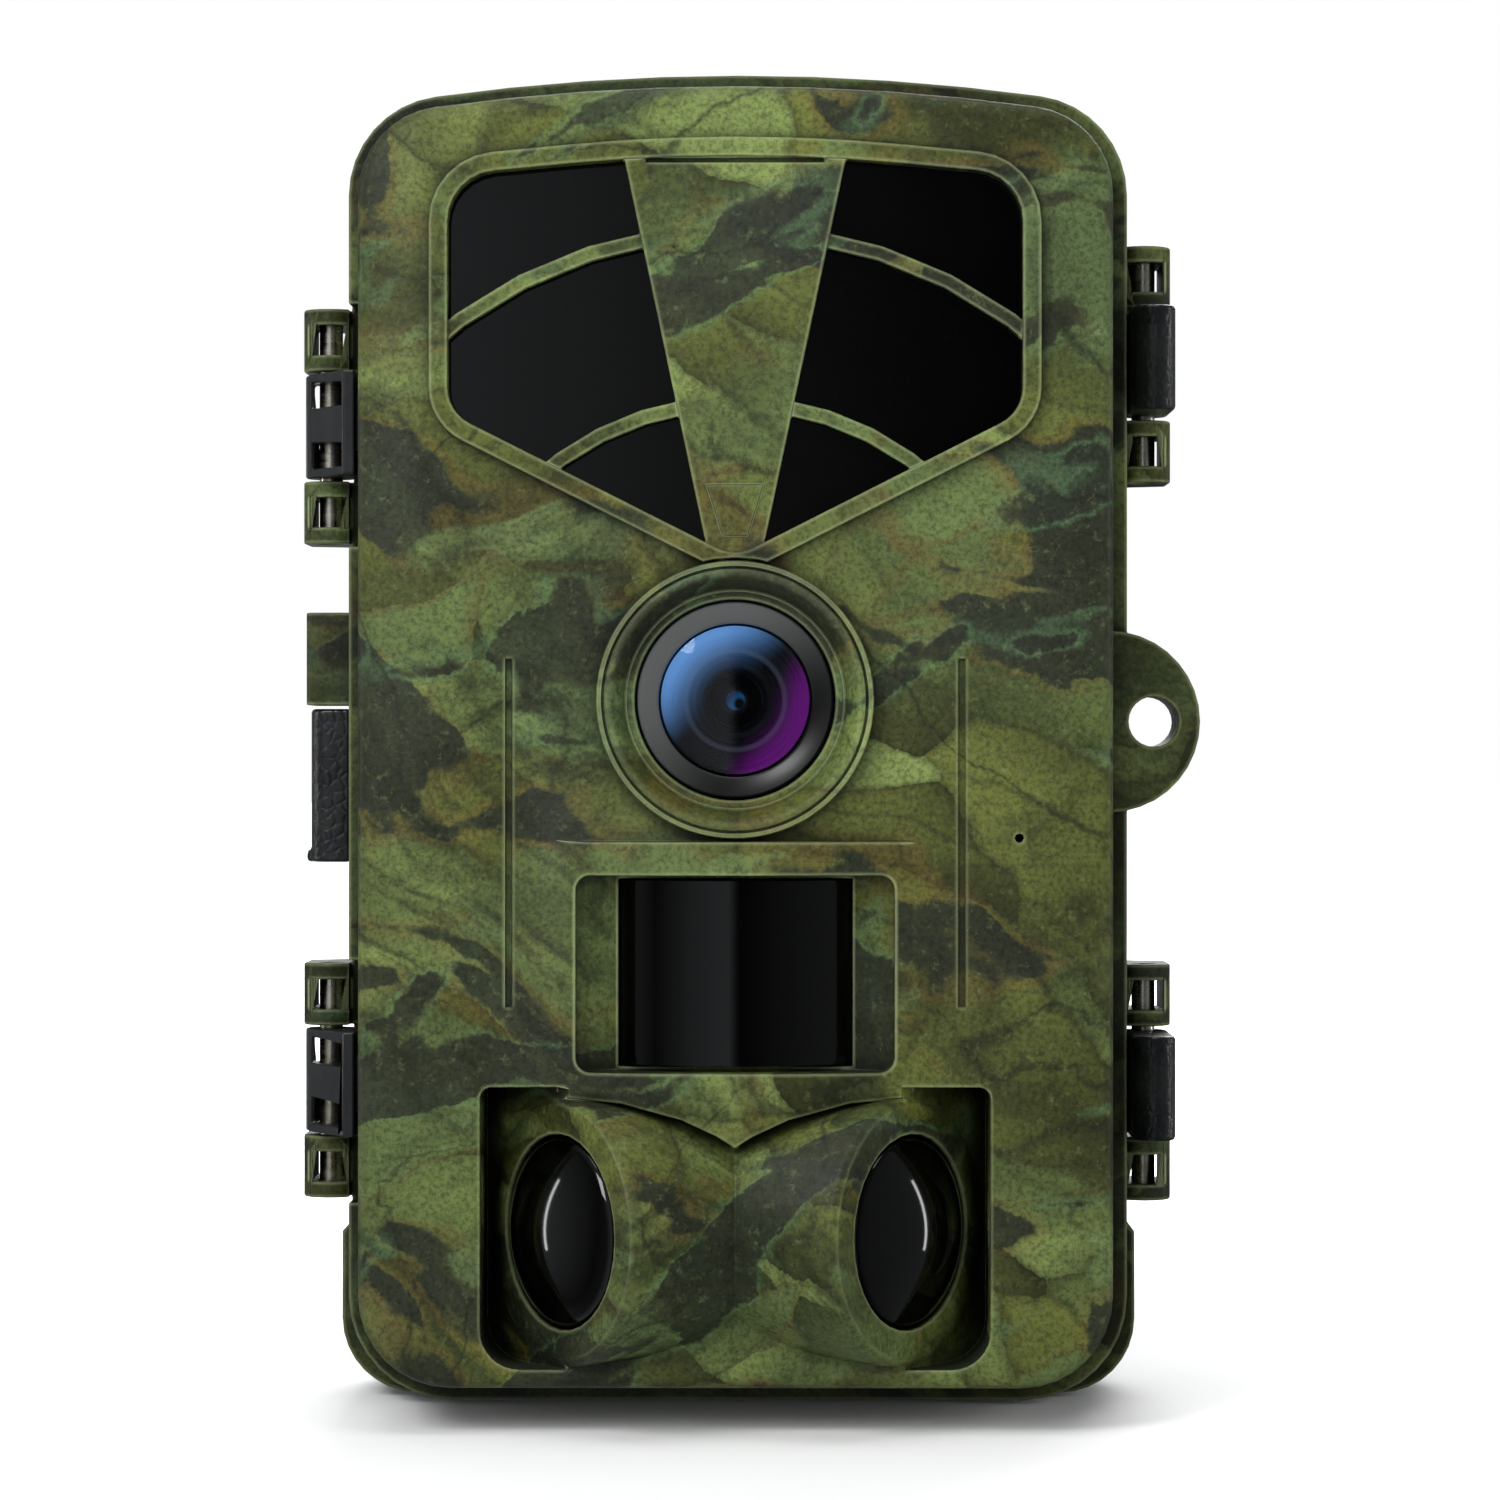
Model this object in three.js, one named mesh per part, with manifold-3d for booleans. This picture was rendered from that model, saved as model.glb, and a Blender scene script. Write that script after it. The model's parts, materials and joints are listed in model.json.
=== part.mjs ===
// A trail camera: a camouflage clamshell case, hinged on its left side and latched on its right. The
// front half carries the lens, infrared lamps, motion sensors, circuit boards, display and buttons.
// The rear half carries eight AA cells and the strap and tripod mountings. Units are millimetres.
// X runs to the right seen from the front, Y to the back, Z up. Everything is drawn in a case frame
// whose y = 0 is the parting plane of the two halves; the exported group moves it so that the origin
// is on the base face of the rear shell.
import * as THREE from "three";
import { mergeVertices } from "three/addons/utils/BufferGeometryUtils.js";
import Module from "manifold-3d";

const wasm = await Module();
wasm.setup();

// ---------------------------------------------------------------- driving dimensions

const GAP = 0.3; // between fixed pieces that touch
const PARTING_GAP = 0.3; // between the two halves of the case
const ORIGIN_BEHIND_PARTING = 3.5; // the group's origin, measured back from the parting plane

const CASE = { halfWidth: 41.2, height: 140.2, crownRadius: 235, topRadius: 10.6, bottomRadius: 11 };
const WALL = 2;
const FACE_WALL = 2.2;
const FRONT_DEPTH = 28;
const DRAFT = 0.044; // how much smaller the front face is than the front shell's open end
const FACE_EDGE = 1.2;
const FLANGE = { step: 1.3, depth: 4 };
const RIM = { lip: 1.6, depth: 4 }; // the thicker rim inside the rear shell
const SEAL = { inset: 1.5, width: 1.0, depth: 1.6, clearance: 0.15 };
const REAR_EDGE = 3;
const CHEEK = { proud: 1.2, height: 19.3, front: 2, chamfer: 2 };

const PIN = { radius: 1.25, offset: 2.2, clearance: 0.15 }; // offset: how far outside the case its axis is
const LUG = { radius: 2.9, height: 6.6, bar: 1.7, back: 7 };
const BARREL = { radius: 2.7, height: 11, gap: 0.35 }; // the moulding between a pair of lugs
const HINGE = { z: [33.7, 103.2] };
const LATCH = { z: [33.3, 110], pinY: 3.3, tipY: -9.6, thickness: 4.5, gap: 0.5 };
const TAB = { z: 71.8, radius: 9.6, reach: 7.65, thickness: 4.9, hole: 2.65, holeIn: 4.9 };

const LENS = { z: 73.85, ring: 14, seat: 12.9, stop: 10.15, glass: 7.6, proud: 2.7 };
const WINDOW = { halfWidth: 30.9, belowTop: 9.5, shoulder: 101.7, tip: 86.1, bead: 1.9, drop: 1.6 };
const WEDGE = { top: 11.65, bottom: 2.55, proud: 0.9 };
const WEDGE_SLIT = { half: 9, width: 0.4, belowTop: 11.7, depth: 0.6 };
const WEDGE_PAD = { top: 95.6, bottom: 90.4, topHalf: 2.9, bottomHalf: 1.3, proud: 0.15 };
const RIBS = { radii: [30, 47.4], width: 1.5 };
const LED = { radius: 2.1, height: 3, pitch: 5.6, rings: [21.5, 26.3, 34, 38.8, 43.4, 52] };

const PIR = { z: 46.2, halfWidth: 16.1, height: 19.9, corner: 1.5, depth: 3.2, bulge: 3, bulgeWidth: 18.2 };
const PIR_LENS = { halfWidth: 11.7, height: 18.7, radius: 20, thickness: 0.9 };
const SIDE = { angle: THREE.MathUtils.degToRad(54), radius: 13.6, z: 20.1, behindFace: 12.9, length: 22 };
const SIDE_LENS = { radius: 9.9, recess: 0.3, dome: 3.4 };
const POCKET = { halfWidth: 25.8, top: 34.7, bottom: 6.2, rim: 0.6, barrelEdge: 0.7 };
const FACE_GROOVE = { x: 22.9, width: 0.7, depth: 0.4, bottom: 42.8, top: 78 };
const MIC = { x: 28.7, z: 59.9, radius: 0.45 };

const CELL = { radius: 7.1, length: 50.5, nub: 1, pitch: 14.9, columns: 4 };
const CONTACT = { board: 1.4, spring: 3, button: 0.8 };
const TRAY = { wall: 1.2, front: 2.2, floor: 1.6, bottom: 10.4 };
const TRIPOD = { radius: 5, bore: 3.175, length: 9, y: 12 };
const EAR = { x: 30, width: 6, z: 71, slotHeight: 30, slotDepth: 5, bar: 2.6, post: 3.4, land: 2 };
const PORT = { z: 65, hoodTop: 83.5, hoodBottom: 73.6, flapBottom: 56.8, y0: 1.6, y1: 11.6, thickness: 4.3 };
const JACK = { radius: 4, bore: 2.75, pin: 1, y: 6.6 };

const COVER = { back: -2.4, thickness: 1.7, clearance: 0.8 };
const BOARD = { thickness: 1.6, halfWidth: 30, back: -8, bottom: 12, top: 118 };
const DISPLAY = { halfWidth: 29.5, height: 43, z: 96, thickness: 2.8, viewHalf: 24.6, viewHeight: 37 };
const BUTTON = { radius: 3, proud: 1.0, flange: 0.7, travel: 0.6, clearance: 0.3, z: 59, pitch: 9.5 };
const SWITCH = { x: 22, travel: 5, width: 4.4, height: 3.2 };
const CARD = { width: 24, length: 31.5, thickness: 2.1, bottom: 12, y: -6.15 };
const BOSS = { radius: 2.5, pilot: 1, top: 118, bottom: 9.4, fromSide: 6.4 };
const SENSOR = { board: 13, chip: 3.5, back: -11 };
const LEAD = { radius: 1.1 };

// ---------------------------------------------------------------- places worked out from them

const FACE_Y = -FRONT_DEPTH;
const INNER_FACE_Y = FACE_Y + FACE_WALL;
const FRONT_END = -PARTING_GAP / 2;
const REAR_START = PARTING_GAP / 2;
const MID_Z = CASE.height / 2;
const PIN_X = CASE.halfWidth + PIN.offset;
const BORE = PIN.radius + PIN.clearance;
const NOTCH = LUG.radius + 0.3;
const CELL_Y = TRAY.front + 1 + CELL.radius;
const TRAY_BACK = CELL_Y + CELL.radius + 0.5 + TRAY.floor;
const REAR_DEPTH = TRAY_BACK + 0.6 + WALL;
const ROW = CONTACT.spring + CELL.length + CONTACT.button;
const ROW_Z = [TRAY.bottom + TRAY.wall + 0.4 + CONTACT.board];
ROW_Z.push(ROW_Z[0] + ROW + CONTACT.board);
const TRAY_TOP = ROW_Z[1] + ROW + CONTACT.board + 0.4 + TRAY.wall;
const TRAY_HALF = (CELL.pitch * (CELL.columns - 1)) / 2 + CELL.radius + 0.5 + TRAY.wall;
const COVER_FRONT = COVER.back - COVER.thickness;
const SIDE_Y = FACE_Y + SIDE.behindFace;
const PIR_FLOOR = FACE_Y + PIR.depth;
const SHOULDER_Z = LENS.z - LENS.ring - GAP; // the chest ends just under the lens ring
const BOARD_FRONT = BOARD.back - BOARD.thickness;
const GLASS_Y = FACE_Y + WINDOW.drop; // front of the dark window

// ---------------------------------------------------------------- materials

const finish = (color, roughness, metalness = 0) =>
  new THREE.MeshStandardMaterial({ color, roughness, metalness });
const CAMO = finish(0x4c5630, 0.55);
const BLACK = finish(0x0c0d0e, 0.45);
const WINDOW_BLACK = finish(0x050506, 0.12);
const RUBBER = finish(0x101112, 0.7);
const STEEL = finish(0xc9c7c0, 0.25, 1);
const BRASS = finish(0xb08d4a, 0.3, 1);
const PCB = finish(0x1d4a2c, 0.5);
const GLASS = finish(0x20305a, 0.05);
const GREY = finish(0x2b2d2f, 0.6);
const CELL_SKIN = finish(0x9a6b2c, 0.35, 0.4);

// ---------------------------------------------------------------- solids

function solid(geometry, matrix = new THREE.Matrix4()) {
  const open = geometry.index ? geometry.toNonIndexed() : geometry.clone();
  open.deleteAttribute("normal");
  open.deleteAttribute("uv");
  const merged = mergeVertices(open.applyMatrix4(matrix), 1e-4);
  return new wasm.Manifold(
    new wasm.Mesh({
      numProp: 3,
      vertProperties: merged.getAttribute("position").array,
      triVerts: new Uint32Array(merged.index.array),
    }),
  );
}

function toGeometry(made) {
  const mesh = made.getMesh();
  const position = new Float32Array(mesh.numVert * 3);
  for (let i = 0; i < mesh.numVert; i++) {
    const from = i * mesh.numProp;
    position.set(mesh.vertProperties.subarray(from, from + 3), i * 3);
  }
  return new THREE.BufferGeometry()
    .setAttribute("position", new THREE.BufferAttribute(position, 3))
    .setIndex(new THREE.BufferAttribute(mesh.triVerts, 1));
}

const join = (first, ...rest) => rest.reduce((all, one) => all.add(one), first);
const cut = (body, ...tools) => tools.reduce((left, tool) => left.subtract(tool), body);

const box = (x0, x1, y0, y1, z0, z1) =>
  solid(
    new THREE.BoxGeometry(x1 - x0, y1 - y0, z1 - z0).translate((x0 + x1) / 2, (y0 + y1) / 2, (z0 + z1) / 2),
  );

// A shape drawn in X and Z and given thickness from y0 to y1. Edge rounds both ends.
function slabYGeometry(shape, y0, y1, { edge = 0, edgeSteps = 2, curve = 4 } = {}) {
  const settings = { depth: y1 - y0 - 2 * edge, curveSegments: curve, bevelEnabled: edge > 0 };
  if (edge > 0)
    Object.assign(settings, {
      bevelThickness: edge,
      bevelSize: edge,
      bevelOffset: -edge,
      bevelSegments: edgeSteps,
    });
  return new THREE.ExtrudeGeometry(shape, settings).rotateX(Math.PI / 2).translate(0, y1 - edge, 0);
}
const slabY = (shape, y0, y1, options) => solid(slabYGeometry(shape, y0, y1, options));

// A shape drawn in X and Y and given thickness from z0 to z1.
const slabZ = (shape, z0, z1, curve = 4) =>
  solid(
    new THREE.ExtrudeGeometry(shape, { depth: z1 - z0, curveSegments: curve, bevelEnabled: false }).translate(
      0,
      0,
      z0,
    ),
  );

// A profile of [radius, along] points turned about Y. It starts and ends on the axis or closes on itself.
function turnedGeometry(profile, sides) {
  let area = 0;
  profile.forEach(([r, a], i) => {
    const [r2, a2] = profile[(i + 1) % profile.length];
    area += r * a2 - r2 * a;
  });
  const points = profile.map(([r, a]) => new THREE.Vector2(r, a));
  if (area < 0) points.reverse();
  const onAxis = points.some((p) => p.x === 0);
  if (!onAxis) points.push(points[0].clone());
  while (onAxis && !(points[0].x === 0 && points.at(-1).x === 0)) points.push(points.shift());
  return new THREE.LatheGeometry(points, sides);
}
const turnedY = (profile, x, z, sides = 32) => solid(turnedGeometry(profile, sides).translate(x, 0, z));
const turnedZ = (profile, x, y, sides = 24) =>
  solid(turnedGeometry(profile, sides).rotateX(Math.PI / 2).translate(x, y, 0));
const turnedX = (profile, y, z, sides = 24) =>
  solid(turnedGeometry(profile, sides).rotateZ(-Math.PI / 2).translate(0, y, z));

const rod = (r, a0, a1) => [
  [0, a0],
  [r, a0],
  [r, a1],
  [0, a1],
];
const rodY = (r, x, z, y0, y1, sides = 24) => turnedY(rod(r, y0, y1), x, z, sides);
const rodZ = (r, x, y, z0, z1, sides = 16) => turnedZ(rod(r, z0, z1), x, y, sides);
const rodX = (r, y, z, x0, x1, sides = 24) => turnedX(rod(r, x0, x1), y, z, sides);

// ---------------------------------------------------------------- outlines

// The case seen from the front, drawn in by inset all round.
function caseOutline(inset = 0, bottomInset = inset) {
  const half = CASE.halfWidth - inset;
  const low = bottomInset;
  const crown = CASE.crownRadius - inset;
  const top = Math.max(CASE.topRadius - inset, 1);
  const corner = Math.max(CASE.bottomRadius - inset, 1);
  const centre = CASE.height - CASE.crownRadius;
  const shoulder = centre + Math.sqrt((crown - top) ** 2 - (half - top) ** 2);
  const turn = Math.atan2(shoulder - centre, half - top);
  const shape = new THREE.Shape();
  shape.moveTo(corner - half, low);
  shape.lineTo(half - corner, low);
  shape.absarc(half - corner, low + corner, corner, -Math.PI / 2, 0);
  shape.lineTo(half, shoulder);
  shape.absarc(half - top, shoulder, top, 0, turn);
  shape.absarc(0, centre, crown, turn, Math.PI - turn);
  shape.absarc(top - half, shoulder, top, Math.PI - turn, Math.PI);
  shape.lineTo(-half, low + corner);
  shape.absarc(corner - half, low + corner, corner, Math.PI, 1.5 * Math.PI);
  return shape;
}

const ring = (outer, inner) => {
  outer.holes.push(inner);
  return outer;
};

// A polygon, anticlockwise, whose corners are [x, y, radius], drawn in by inset.
function roundedPolygon(corners, inset = 0) {
  const at = (i) => corners[(i + corners.length) % corners.length];
  const points = corners.map(([x, y], i) => {
    const p = new THREE.Vector2(x, y);
    const before = p.clone().sub(new THREE.Vector2(...at(i - 1).slice(0, 2))).normalize();
    const after = new THREE.Vector2(...at(i + 1).slice(0, 2)).sub(p).normalize();
    const normal = new THREE.Vector2(-before.y - after.y, before.x + after.x).normalize();
    const spread = normal.x * -before.y + normal.y * before.x;
    return p.addScaledVector(normal, inset / spread);
  });
  const shape = new THREE.Shape();
  points.forEach((p, i) => {
    const before = points[(i + points.length - 1) % points.length].clone().sub(p).normalize();
    const after = points[(i + 1) % points.length].clone().sub(p).normalize();
    const half = Math.acos(THREE.MathUtils.clamp(before.dot(after), -1, 1)) / 2;
    const turnsLeft = before.x * after.y - before.y * after.x < 0;
    const radius = Math.max(at(i)[2] - (turnsLeft ? inset : -inset), 0.05);
    const middle = p.clone().addScaledVector(before.clone().add(after).normalize(), radius / Math.sin(half));
    const start = p.clone().addScaledVector(before, radius / Math.tan(half)).sub(middle);
    const end = p.clone().addScaledVector(after, radius / Math.tan(half)).sub(middle);
    shape.absarc(middle.x, middle.y, radius, start.angle(), end.angle(), !turnsLeft);
  });
  shape.closePath();
  return shape;
}

const roundedBox = (x0, x1, y0, y1, radius) =>
  roundedPolygon([
    [x0, y0, radius],
    [x1, y0, radius],
    [x1, y1, radius],
    [x0, y1, radius],
  ]);

// The shield-shaped lamp window, drawn in by inset from the outer edge of its bead.
function windowOutline(inset = 0) {
  const top = CASE.height - WINDOW.belowTop;
  return roundedPolygon(
    [
      [0, WINDOW.tip, 6],
      [WINDOW.halfWidth, WINDOW.shoulder, 6],
      [WINDOW.halfWidth, top - 2.2, 7],
      [0, top + 0.75, 180],
      [-WINDOW.halfWidth, top - 2.2, 7],
      [-WINDOW.halfWidth, WINDOW.shoulder, 6],
    ],
    inset,
  );
}

// ---------------------------------------------------------------- front shell

function drafted(geometry) {
  const p = geometry.getAttribute("position");
  for (let i = 0; i < p.count; i++) {
    const k = 1 + (DRAFT * p.getY(i)) / FRONT_DEPTH;
    p.setX(i, p.getX(i) * k);
    p.setZ(i, MID_Z + (p.getZ(i) - MID_Z) * k);
  }
  return geometry;
}

const sideMatrix = (side, z = SIDE.z) =>
  new THREE.Matrix4().makeRotationZ(side * SIDE.angle).setPosition(0, SIDE_Y, z);

function sidePocket(side, grow, back) {
  const x0 = POCKET.halfWidth + grow;
  const outline = roundedPolygon([
    [-x0, POCKET.bottom - grow, 4 + grow],
    [-3, POCKET.bottom - grow, 0.1],
    [-3, POCKET.top + grow, 0.1],
    [-x0, POCKET.top + grow, 1.2],
  ]);
  const column = slabY(outline, FACE_Y - 20, FACE_Y + 14 + grow);
  const slab = solid(
    new THREE.BoxGeometry(60, 30, 60).translate(0, back - 15 - SIDE.length, 0),
    sideMatrix(-1),
  );
  const left = column.intersect(slab);
  return side < 0 ? left : mirrored(left);
}

function mirrored(made) {
  const geometry = toGeometry(made).toNonIndexed();
  const p = geometry.getAttribute("position");
  for (let i = 0; i < p.count; i++) p.setX(i, -p.getX(i));
  for (let i = 0; i < p.count; i += 3)
    for (const axis of ["X", "Y", "Z"]) {
      const one = p["get" + axis](i + 1);
      p["set" + axis](i + 1, p["get" + axis](i + 2));
      p["set" + axis](i + 2, one);
    }
  return solid(geometry);
}

function sideBarrel(side) {
  const end = -SIDE.length;
  const r = SIDE.radius;
  const profile = [
    [0, end],
    [r - POCKET.barrelEdge, end],
    [r, end + POCKET.barrelEdge],
    [r, 0],
    [0, 0],
  ];
  const whole = solid(turnedGeometry(profile, 32), sideMatrix(side));
  return whole.intersect(box(-60, 60, FACE_Y - 30, FACE_Y + SIDE.behindFace, 0, CASE.height));
}

function sideHollow(side) {
  const wall = -SIDE.length + FACE_WALL;
  const profile = [
    [0, -SIDE.length - 5],
    [SIDE_LENS.radius, -SIDE.length - 5],
    [SIDE_LENS.radius, wall],
    [SIDE.radius - WALL, wall],
    [SIDE.radius - WALL, -1],
    [0, -1],
  ];
  return solid(turnedGeometry(profile, 32), sideMatrix(side));
}

// The side sensors, seen from the front: below the curves in which their barrels leave the face.
function hoodColumn() {
  const reach = SIDE.behindFace * Math.tan(SIDE.angle);
  const widest = SIDE.behindFace * Math.sin(SIDE.angle);
  const right = [0, 0.35, 0.7, 0.9, 1].map((share) => {
    const w = widest * share;
    return new THREE.Vector2(reach - w / Math.cos(SIDE.angle), SIDE.z + Math.sqrt(SIDE.radius ** 2 - w ** 2));
  });
  const left = right.map((p) => new THREE.Vector2(-p.x, p.y));
  const edge = POCKET.halfWidth;
  const corners = [
    new THREE.Vector2(-edge, 0),
    new THREE.Vector2(edge, 0),
    new THREE.Vector2(edge, right[0].y),
    ...right,
    ...left.slice(0, -1).reverse(),
    new THREE.Vector2(-edge, right[0].y),
  ];
  return slabY(new THREE.Shape(corners), FACE_Y - 10, FACE_Y);
}

// The face swells forward round the central sensor and overhangs the side sensors like a visor.
function chest() {
  const half = PIR.bulgeWidth;
  const radius = (half ** 2 + PIR.bulge ** 2) / (2 * PIR.bulge);
  const sweep = Math.asin(half / radius);
  const shape = new THREE.Shape();
  shape.absarc(0, FACE_Y - PIR.bulge + radius, radius, 1.5 * Math.PI - sweep, 1.5 * Math.PI + sweep);
  shape.lineTo(half, FACE_Y + 1);
  shape.lineTo(-half, FACE_Y + 1);
  return cut(slabZ(shape, SIDE.z, SHOULDER_Z, 5), hoodColumn());
}

function pirPocket() {
  const edge = FACE_Y + 0.9;
  const floor = PIR_LENS.halfWidth + 0.5;
  const shape = new THREE.Shape([
    new THREE.Vector2(-PIR.halfWidth, FACE_Y - 10),
    new THREE.Vector2(PIR.halfWidth, FACE_Y - 10),
    new THREE.Vector2(PIR.halfWidth, edge),
    new THREE.Vector2(floor, PIR_FLOOR),
    new THREE.Vector2(-floor, PIR_FLOOR),
    new THREE.Vector2(-PIR.halfWidth, edge),
  ]);
  const z0 = PIR.z - PIR.height / 2;
  const frame = slabY(
    roundedBox(-PIR.halfWidth, PIR.halfWidth, z0, z0 + PIR.height, PIR.corner),
    FACE_Y - 10,
    PIR_FLOOR,
  );
  return slabZ(shape, z0, z0 + PIR.height).intersect(frame);
}

const pirOpening = () => {
  const half = PIR_LENS.halfWidth + 0.2;
  const high = PIR_LENS.height / 2 + 0.2;
  return box(-half, half, PIR_FLOOR - 1, INNER_FACE_Y + 10, PIR.z - high, PIR.z + high);
};

const bossPlaces = () =>
  [-1, 1].flatMap((side) => [
    [side * (CASE.halfWidth - BOSS.fromSide), BOSS.top],
    [side * (CASE.halfWidth - BOSS.fromSide - 1.2), BOSS.bottom],
  ]);

function padlockTab(y0, y1) {
  const shape = new THREE.Shape();
  const centre = CASE.halfWidth + TAB.reach - TAB.radius;
  shape.absarc(centre, TAB.z, TAB.radius, -Math.PI / 2, Math.PI / 2);
  shape.lineTo(centre - 1, TAB.z + TAB.radius);
  shape.lineTo(centre - 1, TAB.z - TAB.radius);
  return slabY(shape, y0, y1, { curve: 9 });
}
const tabHole = () =>
  rodY(TAB.hole, CASE.halfWidth + TAB.reach - TAB.holeIn, TAB.z, -10, 10, 24);

function hingeSpans() {
  const half = BARREL.height / 2 + BARREL.gap + LUG.height;
  return HINGE.z.map((z) => ({ z, low: z - half, high: z + half }));
}

const faceGroove = (x) =>
  box(
    x - FACE_GROOVE.width / 2,
    x + FACE_GROOVE.width / 2,
    FACE_Y - 1,
    FACE_Y + FACE_GROOVE.depth,
    FACE_GROOVE.bottom,
    FACE_GROOVE.top,
  );

function frontShell() {
  const bodyInset = FLANGE.step;
  const outside = solid(
    drafted(slabYGeometry(caseOutline(bodyInset), FACE_Y, 6, { edge: FACE_EDGE, curve: 4 })),
  );
  const inside = solid(drafted(slabYGeometry(caseOutline(bodyInset + WALL), INNER_FACE_Y, 5)));
  const tab = padlockTab(-PARTING_GAP / 2 - TAB.thickness, FRONT_END);
  const pirFrame = box(
    -PIR.halfWidth - WALL,
    PIR.halfWidth + WALL,
    INNER_FACE_Y - 1,
    PIR_FLOOR + FACE_WALL,
    PIR.z - PIR.height / 2 - WALL,
    PIR.z + PIR.height / 2 + WALL,
  );
  let shell = join(outside, slabY(caseOutline(0), -FLANGE.depth, FRONT_END), chest());
  shell = cut(shell, sidePocket(-1, 0, POCKET.rim), sidePocket(1, 0, POCKET.rim));
  shell = join(shell, sideBarrel(-1), sideBarrel(1));
  const guarded = cut(
    inside,
    sidePocket(-1, WALL, POCKET.rim + WALL),
    sidePocket(1, WALL, POCKET.rim + WALL),
  );
  shell = cut(shell, guarded, sideHollow(-1), sideHollow(1));
  shell = join(shell, pirFrame, tab);
  shell = cut(
    shell,
    pirPocket(),
    pirOpening(),
    tabHole(),
    slabY(windowOutline(WINDOW.bead * 0.6), FACE_Y - 3, INNER_FACE_Y + 1, { curve: 3 }),
    rodY(LENS.seat, 0, LENS.z, FACE_Y - 3, INNER_FACE_Y + 1, 40),
    rodY(MIC.radius, MIC.x, MIC.z, FACE_Y - 1, INNER_FACE_Y + 1, 8),
    ...[-1, 1].map((side) => faceGroove(side * FACE_GROOVE.x)),
    box(-60, 60, FRONT_END, 20, -5, CASE.height + 5),
  );
  for (const [x, z] of bossPlaces()) {
    shell = join(shell, rodY(BOSS.radius, x, z, INNER_FACE_Y - 0.5, COVER_FRONT - 0.4, 12));
    shell = cut(shell, rodY(BOSS.pilot, x, z, COVER_FRONT - 10, COVER_FRONT, 8));
  }
  for (const { z, low, high } of hingeSpans()) {
    const edge = CASE.halfWidth - FLANGE.step;
    shell = cut(shell, box(-PIN_X - 5, -edge - 0.05, -FLANGE.depth - 0.1, 1, low - 0.4, high + 0.4));
    shell = cut(shell, knuckleTongue(z, GAP));
  }
  return shell;
}

// ---------------------------------------------------------------- front face pieces

const extrudedWedge = (y0, y1) => {
  const top = CASE.height - WINDOW.belowTop;
  const bottom = WINDOW.tip + 1.6;
  const shape = new THREE.Shape([
    new THREE.Vector2(-WEDGE.bottom, bottom),
    new THREE.Vector2(WEDGE.bottom, bottom),
    new THREE.Vector2(WEDGE.top, top),
    new THREE.Vector2(-WEDGE.top, top),
  ]);
  return slabY(shape, y0, y1);
};

// A low pad near the wedge's foot.
function wedgePad() {
  const { top, bottom, topHalf, bottomHalf, proud } = WEDGE_PAD;
  const shape = new THREE.Shape([
    new THREE.Vector2(-bottomHalf, bottom),
    new THREE.Vector2(bottomHalf, bottom),
    new THREE.Vector2(topHalf, top),
    new THREE.Vector2(-topHalf, top),
  ]);
  return slabY(shape, FACE_Y - WEDGE.proud - proud, FACE_Y - WEDGE.proud + 0.2);
}

function windowRibs(y0, y1) {
  return RIBS.radii.map((r) => {
    const shape = new THREE.Shape();
    shape.absarc(0, LENS.z, r + RIBS.width / 2, 0.15 * Math.PI, 0.85 * Math.PI);
    shape.absarc(0, LENS.z, r - RIBS.width / 2, 0.85 * Math.PI, 0.15 * Math.PI, true);
    return slabY(shape, y0, y1, { curve: 7 });
  });
}

function windowBezel() {
  const back = GLASS_Y - GAP;
  const bead = slabY(ring(windowOutline(0), windowOutline(WINDOW.bead)), FACE_Y - 1.3, FACE_Y - GAP, {
    curve: 3,
  });
  const skirt = slabY(
    ring(windowOutline(WINDOW.bead * 0.6 + GAP), windowOutline(WINDOW.bead)),
    FACE_Y - 0.5,
    back,
    { curve: 3 },
  );
  const within = slabY(windowOutline(WINDOW.bead - 0.1), FACE_Y - 5, back + 1, { curve: 3 });
  const centre = join(extrudedWedge(FACE_Y - WEDGE.proud, back), ...windowRibs(FACE_Y - 0.5, back - 0.3));
  const whole = join(bead, skirt, centre.intersect(within), wedgePad());
  const slitTop = CASE.height - WEDGE_SLIT.belowTop;
  const { half, width, depth } = WEDGE_SLIT;
  return cut(
    whole,
    box(-half, half, FACE_Y - 5, FACE_Y - WEDGE.proud + depth, slitTop - width, slitTop),
    rodY(LENS.ring + GAP, 0, LENS.z, FACE_Y - 6, back + 1, 40),
  );
}

const irWindow = () =>
  cut(
    slabY(windowOutline(WINDOW.bead * 0.6 + GAP), GLASS_Y, GLASS_Y + 1.5, { curve: 3 }),
    rodY(LENS.ring + GAP, 0, LENS.z, GLASS_Y - 1, GLASS_Y + 3, 40),
  );

// Lamps sit on arcs round the lens, clear of the window's edge, the ribs and the central wedge.
function lampPlaces() {
  const places = [];
  const slope = (WINDOW.shoulder - WINDOW.tip) / WINDOW.halfWidth;
  const top = CASE.height - WINDOW.belowTop;
  for (const r of LED.rings)
    for (let n = 0; n < 12; n++) {
      const angle = 0.26 + (n * LED.pitch) / r;
      const x = r * Math.sin(angle);
      const z = LENS.z + r * Math.cos(angle);
      const clear = LED.radius + WINDOW.bead + 0.9;
      const beside = WEDGE.bottom + ((WEDGE.top - WEDGE.bottom) * (z - WINDOW.tip)) / (top - WINDOW.tip);
      const aboveDiagonal = (z - WINDOW.tip - slope * x) / Math.hypot(1, slope);
      if (x > WINDOW.halfWidth - clear || z > top - clear - 1 || x < beside + LED.radius) continue;
      if (aboveDiagonal > clear) places.push([x, z], [-x, z]);
    }
  return places;
}

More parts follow.
